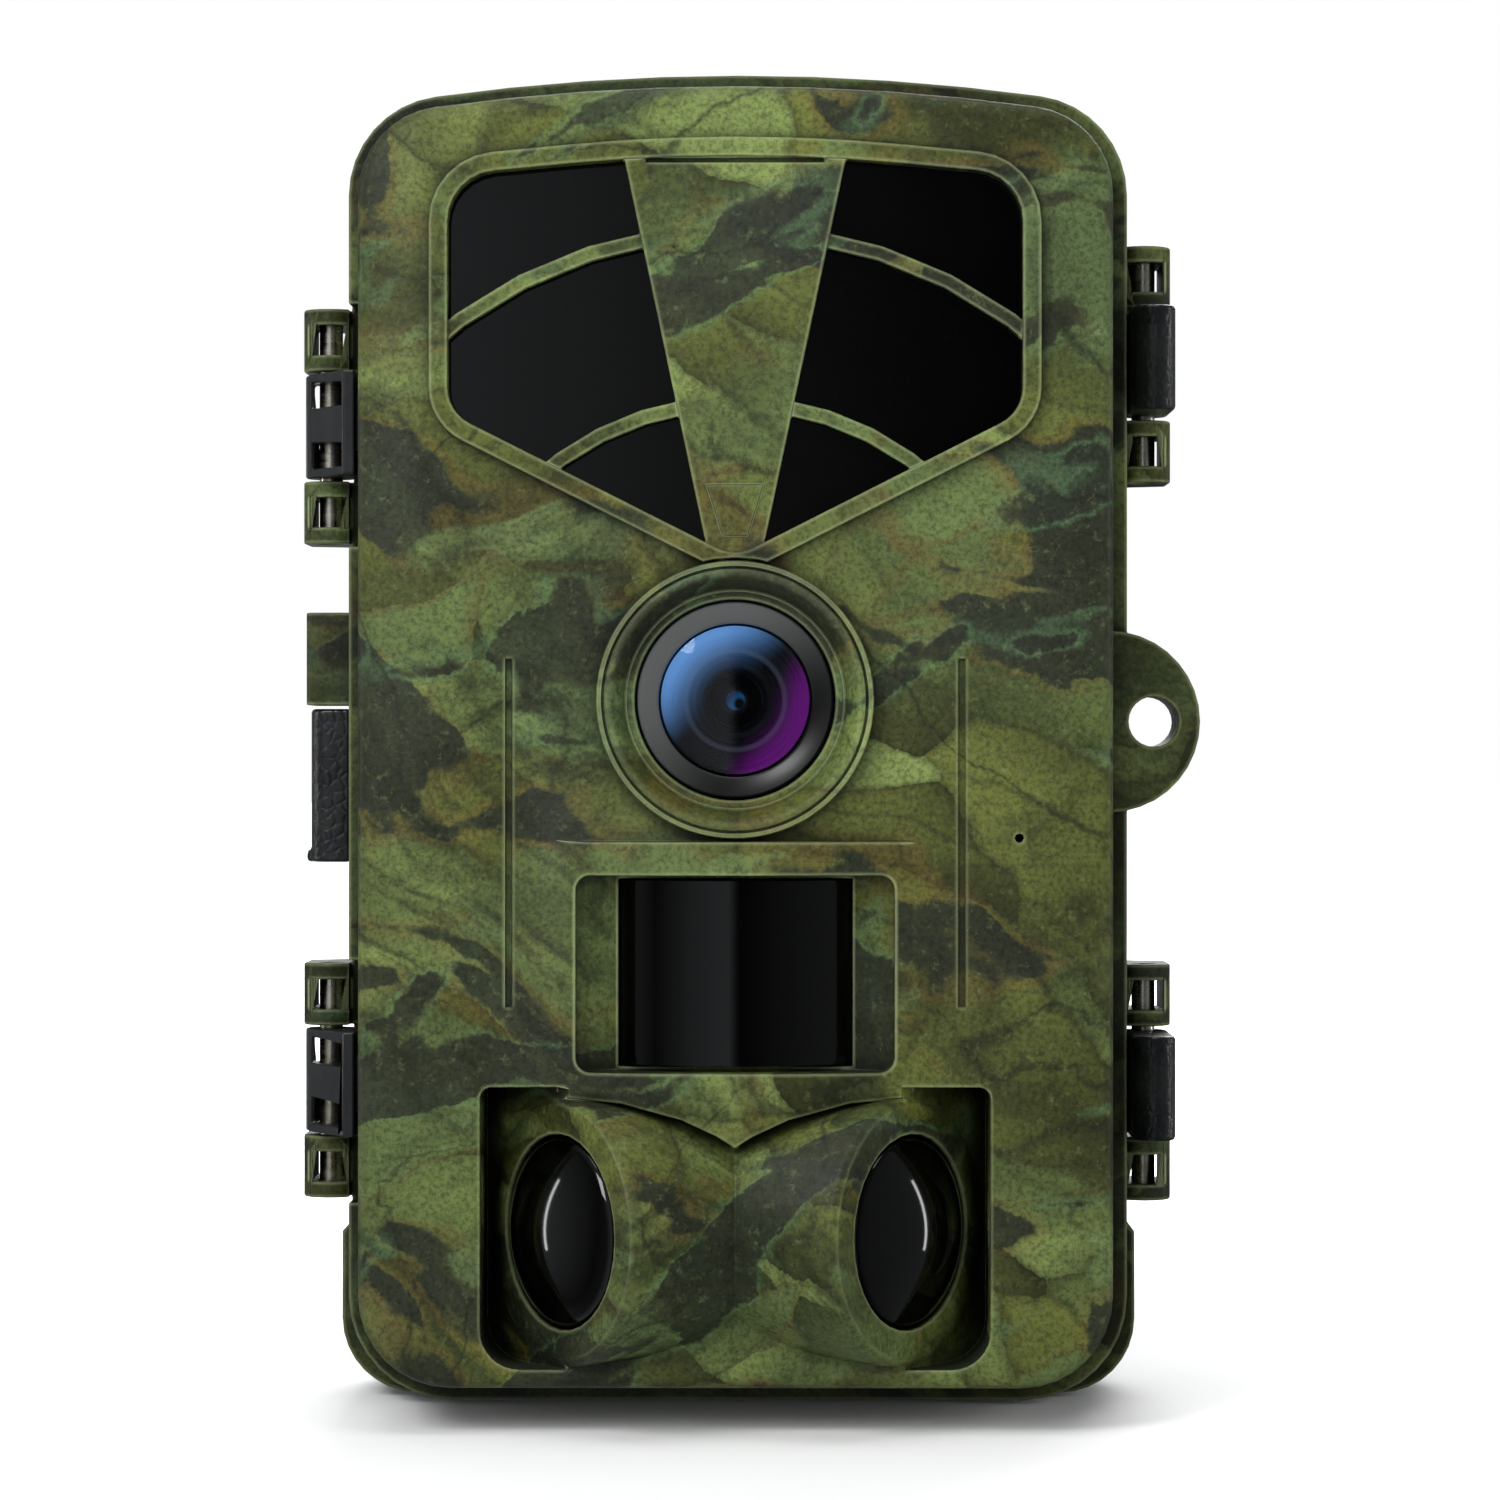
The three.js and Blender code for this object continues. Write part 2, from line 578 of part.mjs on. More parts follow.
function ledBoard() {
  const front = GLASS_Y + 1.5 + 0.8 + LED.height;
  const lamp = [
    [0, front - LED.height],
    [LED.radius, front - LED.height * 0.6],
    [LED.radius, front + 0.2],
    [0, front + 0.2],
  ];
  const board = cut(
    slabY(windowOutline(WINDOW.bead + 0.6), front, front + BOARD.thickness, { curve: 3 }),
    rodY(LENS.ring, 0, LENS.z, front - 1, front + 5, 24),
  );
  return join(board, ...lampPlaces().map(([x, z]) => turnedY(lamp, x, z, 6)));
}

function lensBezel() {
  const face = FACE_Y - GAP;
  const crest = FACE_Y - LENS.proud;
  const r = LENS.ring;
  return turnedY(
    [
      [r, face],
      [r, crest + 0.5],
      [r - 0.25, crest + 0.25],
      [r - 0.5, crest + 0.25],
      [r - 0.7, crest + 0.6],
      [r - 0.9, crest],
      [r - 1.5, crest],
      [LENS.seat - 1.5, FACE_Y - 1.1],
      [LENS.seat - 1.6, FACE_Y - 0.6],
      [LENS.stop + 0.7, FACE_Y - 0.5],
      [LENS.stop + 0.6, FACE_Y - 0.3],
      [LENS.stop, FACE_Y - 0.3],
      [LENS.stop, INNER_FACE_Y + 0.8],
      [LENS.seat - GAP, INNER_FACE_Y + 0.8],
      [LENS.seat - GAP, face],
    ],
    0,
    LENS.z,
    36,
  );
}

const lensTrimRing = () =>
  turnedY(
    [
      [LENS.stop - GAP, INNER_FACE_Y + 0.8],
      [LENS.stop - GAP, FACE_Y - 0.3],
      [LENS.stop - 0.8, FACE_Y - 0.6],
      [LENS.glass + 0.2, FACE_Y + 0.3],
      [LENS.glass + 0.2, INNER_FACE_Y + 0.8],
    ],
    0,
    LENS.z,
    36,
  );

const lensCover = () =>
  turnedY(
    [
      [0, FACE_Y - 0.9],
      [LENS.glass * 0.35, FACE_Y - 0.75],
      [LENS.glass * 0.7, FACE_Y - 0.3],
      [LENS.glass - 0.1, FACE_Y + 0.4],
      [LENS.glass - 0.1, FACE_Y + 1.2],
      [LENS.glass * 0.7, FACE_Y + 0.5],
      [LENS.glass * 0.35, FACE_Y + 0.1],
      [0, FACE_Y],
    ],
    0,
    LENS.z,
    20,
  );

const BARREL_BACK = SENSOR.back - 4.4;
const lensBarrel = () =>
  turnedY(
    [
      [LENS.glass - 0.1, FACE_Y + 1.6],
      [LENS.glass - 0.9, FACE_Y + 1.6],
      [6.4, FACE_Y + 2.2],
      [4.7, FACE_Y + 2.4],
      [4.5, FACE_Y + 3.0],
      [3.5, FACE_Y + 3.2],
      [2.9, FACE_Y + 3.9],
      [2.9, BARREL_BACK],
      [6, BARREL_BACK],
      [6, FACE_Y + 6],
      [LENS.glass - 0.1, FACE_Y + 6],
    ],
    0,
    LENS.z,
    20,
  );

const frontLensElement = () =>
  turnedY(
    [
      [0, FACE_Y + 3.4],
      [1.4, FACE_Y + 3.7],
      [2.6, FACE_Y + 4.6],
      [2.6, FACE_Y + 5.6],
      [0, FACE_Y + 6],
    ],
    0,
    LENS.z,
    16,
  );

function sensorBoard() {
  const front = SENSOR.back - 1.2;
  const half = SENSOR.board;
  const board = box(-half, half, front, SENSOR.back, LENS.z - half + 2, LENS.z + half - 2);
  const chipHalf = SENSOR.chip;
  const chip = box(-chipHalf, chipHalf, front - 1, front + 0.2, LENS.z - chipHalf, LENS.z + chipHalf);
  const rail = (side) => {
    const z = LENS.z + side * 5.4;
    return box(-half + 1, half - 1, front - 2.8, front + 0.2, z - 0.8, z + 0.8);
  };
  return join(board, chip, rail(-1), rail(1));
}

const irCutFilter = () => {
  const y = SENSOR.back - 1.2 - 2.2;
  return box(-4.2, 4.2, y - 0.3, y + 0.3, LENS.z - 4.2, LENS.z + 4.2);
};

// ---------------------------------------------------------------- motion sensors

function pirLensCenter() {
  const { radius, thickness, halfWidth, height } = PIR_LENS;
  const sweep = Math.asin(halfWidth / radius);
  const middle = PIR_FLOOR + radius * Math.cos(sweep) + 0.4;
  const shape = new THREE.Shape();
  shape.absarc(0, middle, radius, 1.5 * Math.PI - sweep, 1.5 * Math.PI + sweep);
  shape.absarc(0, middle, radius - thickness, 1.5 * Math.PI + sweep, 1.5 * Math.PI - sweep, true);
  return slabZ(shape, PIR.z - height / 2, PIR.z + height / 2, 6);
}

function pirSensor(tip) {
  return [
    [0, tip],
    [4.1, tip],
    [4.1, tip + 3.6],
    [4.6, tip + 3.6],
    [4.6, tip + 4.2],
    [6, tip + 4.2],
    [6, tip + 5.4],
    [0, tip + 5.4],
  ];
}

function sideLens() {
  const y = -SIDE.length + SIDE_LENS.recess;
  const r = SIDE_LENS.radius - 0.25;
  return turnedGeometry(
    [
      [0, y - SIDE_LENS.dome],
      [r * 0.3, y - SIDE_LENS.dome * 0.92],
      [r * 0.6, y - SIDE_LENS.dome * 0.67],
      [r * 0.85, y - SIDE_LENS.dome * 0.31],
      [r, y],
      [r, y + 1.2],
      [r * 0.85, y + 0.9 - SIDE_LENS.dome * 0.31],
      [r * 0.5, y + 0.9 - SIDE_LENS.dome * 0.76],
      [0, y + 0.9 - SIDE_LENS.dome],
    ],
    28,
  );
}

// ---------------------------------------------------------------- inside the front half

function buttonPlaces() {
  const { z, pitch } = BUTTON;
  return {
    button_ok: [0, z],
    button_up: [0, z + pitch],
    button_down: [0, z - pitch],
    button_left: [-pitch, z],
    button_right: [pitch, z],
    button_menu: [-2.4 * pitch, z],
  };
}

function displayView(inset) {
  const half = DISPLAY.viewHalf - inset;
  const high = DISPLAY.viewHeight / 2 - inset;
  return roundedBox(-half, half, DISPLAY.z - high, DISPLAY.z + high, 1.5 - inset);
}

function innerCover() {
  const inset = FLANGE.step + WALL + COVER.clearance;
  const panel = slabY(caseOutline(inset, inset + 1.4), COVER_FRONT, COVER.back, { curve: 3 });
  const view = slabY(displayView(0), COVER_FRONT - 1, COVER.back + 1);
  const holes = Object.values(buttonPlaces()).map(([x, z]) =>
    rodY(BUTTON.radius + BUTTON.clearance + 0.1, x, z, COVER_FRONT - 1, COVER.back + 1, 12),
  );
  const slot = SWITCH.travel / 2 + SWITCH.width / 2 + 0.3;
  const screws = bossPlaces().map(([x, z]) => rodY(1.3, x, z, COVER_FRONT - 1, COVER.back + 1, 8));
  const edge = CASE.halfWidth - inset;
  const leadEdge = 0.8 + LEAD.radius - leadX;
  return cut(
    panel,
    view,
    ...holes,
    ...screws,
    box(
      SWITCH.x - slot,
      SWITCH.x + slot,
      COVER_FRONT - 1,
      COVER.back + 1,
      BUTTON.z - SWITCH.height / 2 - 0.3,
      BUTTON.z + SWITCH.height / 2 + 0.3,
    ),
    box(
      -CARD.width / 2 - 2,
      CARD.width / 2 + 2,
      COVER_FRONT - 1,
      COVER.back + 1,
      CARD.bottom - 5,
      CARD.bottom + 2.6,
    ),
    box(-edge - 1, leadEdge, COVER_FRONT - 1, COVER.back + 1, LEAD_PATH[0][2] - 5, LEAD_PATH[0][2] + 5),
  );
}

function mainBoard() {
  const board = slabY(
    roundedBox(-BOARD.halfWidth, BOARD.halfWidth, BOARD.bottom, BOARD.top, 1.5),
    BOARD_FRONT,
    BOARD.back,
  );
  const top = COVER_FRONT - GAP - BUTTON.flange - BUTTON.travel - 0.2;
  const keys = Object.values(buttonPlaces()).map(([x, z]) =>
    box(x - 2.6, x + 2.6, BOARD.back - 0.2, top, z - 2.6, z + 2.6),
  );
  const under = BOARD.back - BOARD.thickness;
  const chips = [
    box(-22, -8, under - 1, under + 0.2, 100, 112),
    box(10, 20, under - 1, under + 0.2, 92, 106),
    box(8, 26, under - 0.9, under + 0.2, 44, 58),
  ];
  const [x, , z] = LEAD_PATH[0];
  const plug = box(-BOARD.halfWidth + 0.5, x - 2 + 7, BOARD.back - 0.2, BOARD.back + 2.6, z - 3.5, z + 3.5);
  return cut(
    join(board, ...keys, ...chips, plug),
    rodX(LEAD.radius + 0.35, LEAD_PATH[0][1], z, -BOARD.halfWidth - 1, x + 0.2, 10),
  );
}

const displayModule = () => {
  const y1 = COVER_FRONT - GAP;
  const half = DISPLAY.halfWidth;
  const high = DISPLAY.height / 2;
  const glass = box(-half, half, y1 - DISPLAY.thickness, y1, DISPLAY.z - high, DISPLAY.z + high);
  const view = slabY(displayView(GAP), y1 - 0.2, COVER.back - 0.5);
  return join(glass, view);
};

function buttonCap(x, z) {
  const y1 = COVER_FRONT - GAP;
  return turnedY(
    [
      [0, y1 - BUTTON.flange],
      [BUTTON.radius + 0.8, y1 - BUTTON.flange],
      [BUTTON.radius + 0.8, y1],
      [BUTTON.radius, y1],
      [BUTTON.radius, COVER.back + BUTTON.proud],
      [0, COVER.back + BUTTON.proud],
    ],
    x,
    z,
    12,
  );
}

function switchKnob() {
  const y1 = COVER_FRONT - GAP;
  const x = SWITCH.x - SWITCH.travel / 2;
  const w = SWITCH.width / 2;
  const h = SWITCH.height / 2;
  const plate = box(x - w - 2.5, x + w + 2.5, y1 - 0.9, y1, BUTTON.z - h - 1.5, BUTTON.z + h + 1.5);
  const knob = box(x - w, x + w, y1 - 0.5, COVER.back + 1.2, BUTTON.z - h, BUTTON.z + h);
  const grooves = [-1, 0, 1].map((n) =>
    box(x + n * 1.2 - 0.25, x + n * 1.2 + 0.25, COVER.back + 0.8, COVER.back + 2, BUTTON.z - 5, BUTTON.z + 5),
  );
  return cut(join(plate, knob), ...grooves);
}

const cardHalf = CARD.width / 2;
const memoryCard = () => {
  const z1 = CARD.bottom + CARD.length;
  const shape = new THREE.Shape([
    new THREE.Vector2(-cardHalf, CARD.bottom),
    new THREE.Vector2(cardHalf, CARD.bottom),
    new THREE.Vector2(cardHalf, z1 - 4),
    new THREE.Vector2(cardHalf - 4, z1),
    new THREE.Vector2(-cardHalf, z1),
  ]);
  return slabY(shape, CARD.y - CARD.thickness / 2, CARD.y + CARD.thickness / 2);
};

const cardSocket = () => {
  const room = CARD.thickness / 2 + 0.15;
  const z1 = CARD.bottom + CARD.length;
  const [half, deep] = [cardHalf + 1.2, room + 0.4];
  const shell = box(-half, half, CARD.y - deep, CARD.y + deep, CARD.bottom + 3.4, z1 + 1.2);
  const inside = box(-cardHalf - 0.3, cardHalf + 0.3, CARD.y - room, CARD.y + room, 0, z1 + 0.3);
  return cut(shell, inside);
};

const coverScrew = (x, z) => {
  const head = COVER.back + 0.1;
  return turnedY(
    [
      [0, head + 1.1],
      [1.6, head + 1.1],
      [2.1, head + 0.5],
      [2.1, head],
      [0.8, head],
      [0.8, COVER_FRONT - 8.4],
      [0, COVER_FRONT - 9.2],
    ],
    x,
    z,
    10,
  );
};

// The supply lead crosses the hinge side inside the case, from the main board to the battery tray.
const leadX = TRAY_HALF + 3.6;
const LEAD_PATH = [
  [-BOARD.halfWidth + 2, BOARD.back + 1.3, 36],
  [-BOARD.halfWidth - 1.5, BOARD.back + 1.3, 36],
  [-leadX + 0.8, BOARD.back + 2.6, 35.8],
  [-leadX, -2.4, 35.4],
  [-leadX, 1.2, 35],
  [-leadX, 5, 34],
  [-leadX + 0.8, 8.2, 32.6],
  [-TRAY_HALF - 1.6, 9.2, 32],
  [-TRAY_HALF - GAP, 9.2, 32],
];

function batteryLead() {
  const route = new THREE.CatmullRomCurve3(LEAD_PATH.map((p) => new THREE.Vector3(...p)));
  const section = new THREE.Shape();
  section.absarc(0, 0, LEAD.radius, 0, 2 * Math.PI);
  return solid(new THREE.ExtrudeGeometry(section, { steps: 16, curveSegments: 3, extrudePath: route }));
}

// ---------------------------------------------------------------- hinges, latches and the port cover

// A lug holds a pin in two bars, with a window between them. It is drawn at the left, with its pin at y.
function lug(side, z0, z1, y) {
  const x = -PIN_X;
  const wall = -CASE.halfWidth + 0.8;
  const shape = new THREE.Shape();
  shape.absarc(x, y, LUG.radius, Math.PI, 2 * Math.PI);
  shape.lineTo(Math.max(x + LUG.radius, wall), y);
  shape.lineTo(wall, y + 1);
  shape.lineTo(wall, y + LUG.back + LUG.radius);
  shape.lineTo(x - LUG.radius, y + LUG.back);
  const body = slabZ(shape, z0, z1, 4);
  const inner = LUG.radius - 0.9;
  const window = box(x - inner, x + inner, y - 6, y + LUG.back + 6, z0 + LUG.bar, z1 - LUG.bar);
  const made = cut(body, window, rodZ(BORE, x, y, z0 - 1, z1 + 1, 12));
  return side < 0 ? made : mirrored(made);
}

function lugPair(side, z, y, gap) {
  const low = z - BARREL.height / 2 - gap;
  const high = z + BARREL.height / 2 + gap;
  return [lug(side, low - LUG.height, low, y), lug(side, high, high + LUG.height, y)];
}

const pin = (side, z, y, gap) => {
  const half = BARREL.height / 2 + gap + LUG.height - 0.3;
  return rodZ(PIN.radius, side * PIN_X, y, z - half, z + half, 12);
};

function knuckleTongue(z, grow) {
  const edge = -(CASE.halfWidth - FLANGE.step);
  return box(edge - 1.4, edge + WALL + 0.9 + grow, -8 - grow, -4.6 + grow, z - 3 - grow, z + 3 + grow);
}

function hingeKnuckle(z) {
  const edge = -(CASE.halfWidth - FLANGE.step) - 0.25;
  const low = z - BARREL.height / 2;
  const high = z + BARREL.height / 2;
  const shape = new THREE.Shape();
  shape.absarc(-PIN_X, 0, BARREL.radius, 0.15 * Math.PI, 1.15 * Math.PI);
  shape.lineTo(edge - 1.2, -9.4);
  shape.lineTo(edge, -9.4);
  shape.lineTo(edge, -1.6);
  const body = slabZ(shape, low, high, 4);
  const slot = (z0) =>
    box(-PIN_X - BARREL.radius + 0.8, -PIN_X + BARREL.radius - 0.8, -12, 6, z0 - 1.35, z0 + 1.35);
  return join(
    cut(body, slot(low + 2.3), slot(high - 2.3), rodZ(BORE, -PIN_X, 0, low - 1, high + 1, 12)),
    knuckleTongue(z, 0),
  );
}

function latchLever(z) {
  const inner = CASE.halfWidth + 0.35;
  const outer = inner + LATCH.thickness;
  const r = LATCH.thickness / 2;
  const shape = new THREE.Shape();
  shape.absarc(PIN_X, LATCH.pinY, BARREL.radius, 0, 0.85 * Math.PI);
  shape.lineTo(inner, LATCH.pinY - 1.4);
  shape.lineTo(inner, LATCH.tipY + r);
  shape.absarc(inner + r, LATCH.tipY + r, r, Math.PI, 2 * Math.PI);
  shape.lineTo(outer, LATCH.pinY - 1);
  const body = slabZ(shape, z - BARREL.height / 2, z + BARREL.height / 2, 5);
  return cut(body, rodZ(BORE, PIN_X, LATCH.pinY, z - 20, z + 20, 12));
}

const flapOuter = () => CASE.halfWidth + 0.35 + PORT.thickness;

function portCover() {
  const inner = -CASE.halfWidth - 0.35;
  const outer = -flapOuter();
  const top = PORT.hoodBottom - 0.4;
  const shape = roundedPolygon([
    [outer, PORT.y0, 1.9],
    [inner, PORT.y0, 0.4],
    [inner, PORT.y1, 0.4],
    [outer, PORT.y1, 1.9],
  ]);
  const lipBottom = PORT.flapBottom;
  const lip = box(outer - 0.5, outer + 1.5, PORT.y0 + 1.9, PORT.y1 - 1.9, lipBottom, lipBottom + 1.2);
  const stopper = rodX(JACK.radius - 1, JACK.y, PORT.z, inner - 0.3, inner + 0.6, 16);
  return join(slabZ(shape, PORT.flapBottom, top, 3), lip, stopper);
}

const portHood = () =>
  slabZ(
    roundedPolygon([
      [-flapOuter() - 0.4, PORT.y0 - 0.6, 1.2],
      [-CASE.halfWidth + 0.8, PORT.y0 - 0.6, 0.1],
      [-CASE.halfWidth + 0.8, PORT.y1 + 0.6, 0.1],
      [-flapOuter() - 0.4, PORT.y1 + 0.6, 1.2],
    ]),
    PORT.hoodBottom,
    PORT.hoodTop,
    3,
  );

const jackX = -CASE.halfWidth;
const dcJack = () =>
  join(
    turnedX(
      [
        [JACK.radius, jackX + 0.5],
        [JACK.radius, jackX + 7.2],
        [0, jackX + 7.2],
        [0, jackX + 1.2],
        [JACK.pin, jackX + 1.2],
        [JACK.pin, jackX + 6.2],
        [JACK.bore, jackX + 6.2],
        [JACK.bore, jackX + 0.5],
      ],
      JACK.y,
      PORT.z,
      20,
    ),
  );

// ---------------------------------------------------------------- rear shell

function strapEar(side) {
  const back = REAR_DEPTH;
  const high = EAR.slotHeight / 2 + EAR.post;
  const tip = back + EAR.land + EAR.slotDepth + EAR.bar;
  const x0 = side * EAR.x - EAR.width / 2;
  const block = box(x0, x0 + EAR.width, back - 1, tip, EAR.z - high, EAR.z + high);
  const slot = box(
    x0 - 1,
    x0 + EAR.width + 1,
    back + EAR.land,
    back + EAR.land + EAR.slotDepth,
    EAR.z - EAR.slotHeight / 2,
    EAR.z + EAR.slotHeight / 2,
  );
  return cut(block, slot);
}

function cheeks() {
  const half = CASE.halfWidth + CHEEK.proud;
  const shape = roundedPolygon([
    [-half, 0, 8],
    [half, 0, 8],
    [half, CHEEK.height - CHEEK.chamfer, 0.2],
    [half - CHEEK.chamfer, CHEEK.height, 0.2],
    [CHEEK.chamfer - half, CHEEK.height, 0.2],
    [-half, CHEEK.height - CHEEK.chamfer, 0.2],
  ]);
  return slabY(shape, CHEEK.front, REAR_DEPTH - REAR_EDGE, { curve: 4 });
}

function rearShell() {
  const outside = slabY(caseOutline(0), -4, REAR_DEPTH, { edge: REAR_EDGE, edgeSteps: 2 });
  const inside = slabY(caseOutline(WALL), RIM.depth, REAR_DEPTH - WALL, { curve: 2 });
  const mouth = slabY(caseOutline(WALL + RIM.lip), -6, RIM.depth + 1, { curve: 3 });
  const { inset, width, depth, clearance } = SEAL;
  const groove = slabY(
    ring(caseOutline(inset - clearance), caseOutline(inset + width + clearance)),
    -1,
    depth + clearance,
    { curve: 3 },
  );
  const boss = rodZ(TRIPOD.radius + GAP + WALL, 0, TRIPOD.y, 0.5, TRIPOD.length + 0.6, 20);
  const hole = rodZ(TRIPOD.radius + GAP, 0, TRIPOD.y, -1, TRIPOD.length + 2, 20);
  const pad = slabY(
    roundedBox(-EAR.x + 8, EAR.x - 8, EAR.z - 26, EAR.z + 26, 3),
    REAR_DEPTH - 1,
    REAR_DEPTH + EAR.land,
    { edge: 0.6, edgeSteps: 1, curve: 3 },
  );
  let shell = cut(join(outside, cheeks()), inside, mouth);
  shell = cut(join(shell, boss, pad, strapEar(-1), strapEar(1), portHood()), hole);
  shell = cut(shell, rodX(JACK.radius + 0.4, JACK.y, PORT.z, -60, -CASE.halfWidth + WALL + RIM.lip + 1, 20));
  for (const z of HINGE.z) {
    const half = BARREL.height / 2 + BARREL.gap;
    shell = cut(shell, rodZ(NOTCH, -PIN_X, 0, z - half, z + half, 20));
    shell = join(shell, ...lugPair(-1, z, 0, BARREL.gap));
  }
  for (const z of LATCH.z) {
    const half = BARREL.height / 2 + LATCH.gap;
    shell = cut(shell, rodZ(NOTCH, PIN_X, LATCH.pinY, z - half, z + half, 20));
    shell = join(shell, ...lugPair(1, z, LATCH.pinY, LATCH.gap));
  }
  shell = cut(
    join(shell, padlockTab(REAR_START, REAR_START + TAB.thickness)),
    tabHole(),
    groove,
    mouth,
    inside.intersect(
      box(-60, 60, -10, 40, TRIPOD.length + 2, 200),
    ),
    box(-CASE.halfWidth - 0.1, CASE.halfWidth + 0.1, -10, REAR_START, -5, CASE.height + 5),
    box(CASE.halfWidth, CASE.halfWidth + 20, -10, REAR_START, -5, CASE.height + 5),
  );
  return shell;
}

const caseSeal = () =>
  slabY(
    ring(caseOutline(SEAL.inset), caseOutline(SEAL.inset + SEAL.width)),
    0,
    SEAL.depth - 0.1,
    { curve: 3 },
  );

const tripodInsert = () =>
  turnedZ(
    [
      [TRIPOD.bore, 0.1],
      [TRIPOD.radius, 0.1],
      [TRIPOD.radius, TRIPOD.length],
      [0, TRIPOD.length],
      [0, TRIPOD.length - 0.8],
      [TRIPOD.bore, TRIPOD.length - 0.8],
    ],
    0,
    TRIPOD.y,
    20,
  );

// ---------------------------------------------------------------- power

const cellColumns = () =>
  Array.from({ length: CELL.columns }, (_, i) => (i - (CELL.columns - 1) / 2) * CELL.pitch);
const nubUp = (column, row) => (column + row) % 2 === 0;

function cell(row, column) {
  const up = nubUp(column, row);
  const z0 = ROW_Z[row] + (up ? CONTACT.spring : CONTACT.button);
  const r = CELL.radius;
  const body = [
    [0, 0],
    [r - 0.5, 0],
    [r, 0.5],
    [r, CELL.length - CELL.nub],
    [2.7, CELL.length - CELL.nub],
    [2.7, CELL.length],
    [0, CELL.length],
  ];
  const profile = body.map(([a, b]) => [a, up ? z0 + b : z0 + CELL.length - b]);
  return turnedZ(profile, cellColumns()[column], CELL_Y, 14);
}

// Springs press the flat ends and low studs meet the nubs. Faces is +1 upwards and -1 downwards.
function contacts(z, faces, row) {
  return cellColumns().map((x, column) => {
    const spring = nubUp(column, row) === faces > 0;
    const high = spring ? CONTACT.spring - 0.4 : CONTACT.button - 0.3;
    const wide = spring ? 4.2 : 3;
    const profile = [
      [0, -0.2],
      [wide, -0.2],
      [wide * 0.6, high],
      [0, high],
    ].map(([r, a]) => [r, z + faces * a]);
    return turnedZ(profile, x, CELL_Y, 8);
  });
}

function contactBoard(z0, below, above) {
  const half = TRAY_HALF - TRAY.wall - 0.4;
  const board = box(-half, half, TRAY.front + 0.8, CELL_Y + CELL.radius, z0, z0 + CONTACT.board);
  const parts = [];
  if (below !== null) parts.push(...contacts(z0, -1, below));
  if (above !== null) parts.push(...contacts(z0 + CONTACT.board, 1, above));
  return join(board, ...parts);
}

function batteryTray() {
  const w = TRAY.wall;
  const whole = box(-TRAY_HALF, TRAY_HALF, TRAY.front, TRAY_BACK, TRAY.bottom, TRAY_TOP);
  const room = box(
    -TRAY_HALF + w,
    TRAY_HALF - w,
    TRAY.front - 1,
    TRAY_BACK - TRAY.floor,
    TRAY.bottom + w,
    TRAY_TOP - w,
  );
  const floor = TRAY_BACK - TRAY.floor;
  const ribs = ROW_Z.flatMap((z) =>
    cellColumns()
      .slice(1)
      .map((x) => x - CELL.pitch / 2)
      .map((x) => box(x - 1, x + 1, floor - 2.6, floor + 0.2, z + 6, z + ROW - 6)),
  );
  const ribbonSlots = ROW_Z.map((z) =>
    box(-TRAY_HALF - 1, TRAY_HALF + 1, TRAY.front - 1, TRAY.front + 5, z + ROW / 2 - 9, z + ROW / 2 + 9),
  );
  return join(cut(whole, room, ...ribbonSlots), ...ribs);
}

// ---------------------------------------------------------------- the camera

const camera = new THREE.Group();
camera.position.y = -ORIGIN_BEHIND_PARTING;
const frontHalf = new THREE.Group();
const rearHalf = new THREE.Group();
camera.add(frontHalf, rearHalf);

function add(group, name, made, material) {
  const geometry = made.isBufferGeometry ? made : toGeometry(made);
  const mesh = new THREE.Mesh(geometry, material);
  mesh.name = name;
  group.add(mesh);
  return mesh;
}

function addFrontHalf() {
  add(frontHalf, "front_shell", frontShell(), CAMO);
  add(frontHalf, "window_bezel", windowBezel(), CAMO);
  add(frontHalf, "ir_window", irWindow(), WINDOW_BLACK);
  add(frontHalf, "led_board", ledBoard(), PCB);
  add(frontHalf, "lens_bezel", lensBezel(), CAMO);
  add(frontHalf, "lens_trim_ring", lensTrimRing(), BLACK);
  add(frontHalf, "lens_cover", lensCover(), GLASS);
  add(frontHalf, "lens_barrel", lensBarrel(), BLACK);
  add(frontHalf, "front_lens_element", frontLensElement(), GLASS);
  add(frontHalf, "sensor_board", sensorBoard(), PCB);
  add(frontHalf, "ir_cut_filter", irCutFilter(), GLASS);
  add(frontHalf, "pir_lens_center", pirLensCenter(), WINDOW_BLACK);
  add(frontHalf, "pir_sensor_center", turnedY(pirSensor(FACE_Y + 9), 0, PIR.z, 16), STEEL);
  for (const [name, side] of [
    ["left", -1],
    ["right", 1],
  ]) {
    const mount = new THREE.Group();
    mount.position.set(0, SIDE_Y, SIDE.z);
    mount.rotation.z = side * SIDE.angle;
    frontHalf.add(mount);
    add(mount, "pir_lens_" + name, solid(sideLens()), WINDOW_BLACK);
    add(mount, "pir_sensor_" + name, turnedY(pirSensor(-SIDE.length + 9), 0, 0, 16), STEEL);
  }
  add(frontHalf, "main_board", mainBoard(), PCB);
  add(frontHalf, "inner_cover", innerCover(), GREY);
  add(frontHalf, "display", displayModule(), WINDOW_BLACK);
  for (const [name, [x, z]] of Object.entries(buttonPlaces()))
    add(frontHalf, name, buttonCap(x, z), RUBBER);
  add(frontHalf, "power_switch_knob", switchKnob(), BLACK);
  add(frontHalf, "card_socket", cardSocket(), STEEL);
  add(frontHalf, "memory_card", memoryCard(), BLACK);
  bossPlaces().forEach(([x, z], i) => add(frontHalf, "cover_screw_" + (i + 1), coverScrew(x, z), STEEL));
  ["lower", "upper"].forEach((name, i) =>
    add(frontHalf, "hinge_knuckle_" + name, hingeKnuckle(HINGE.z[i]), BLACK),
  );
}

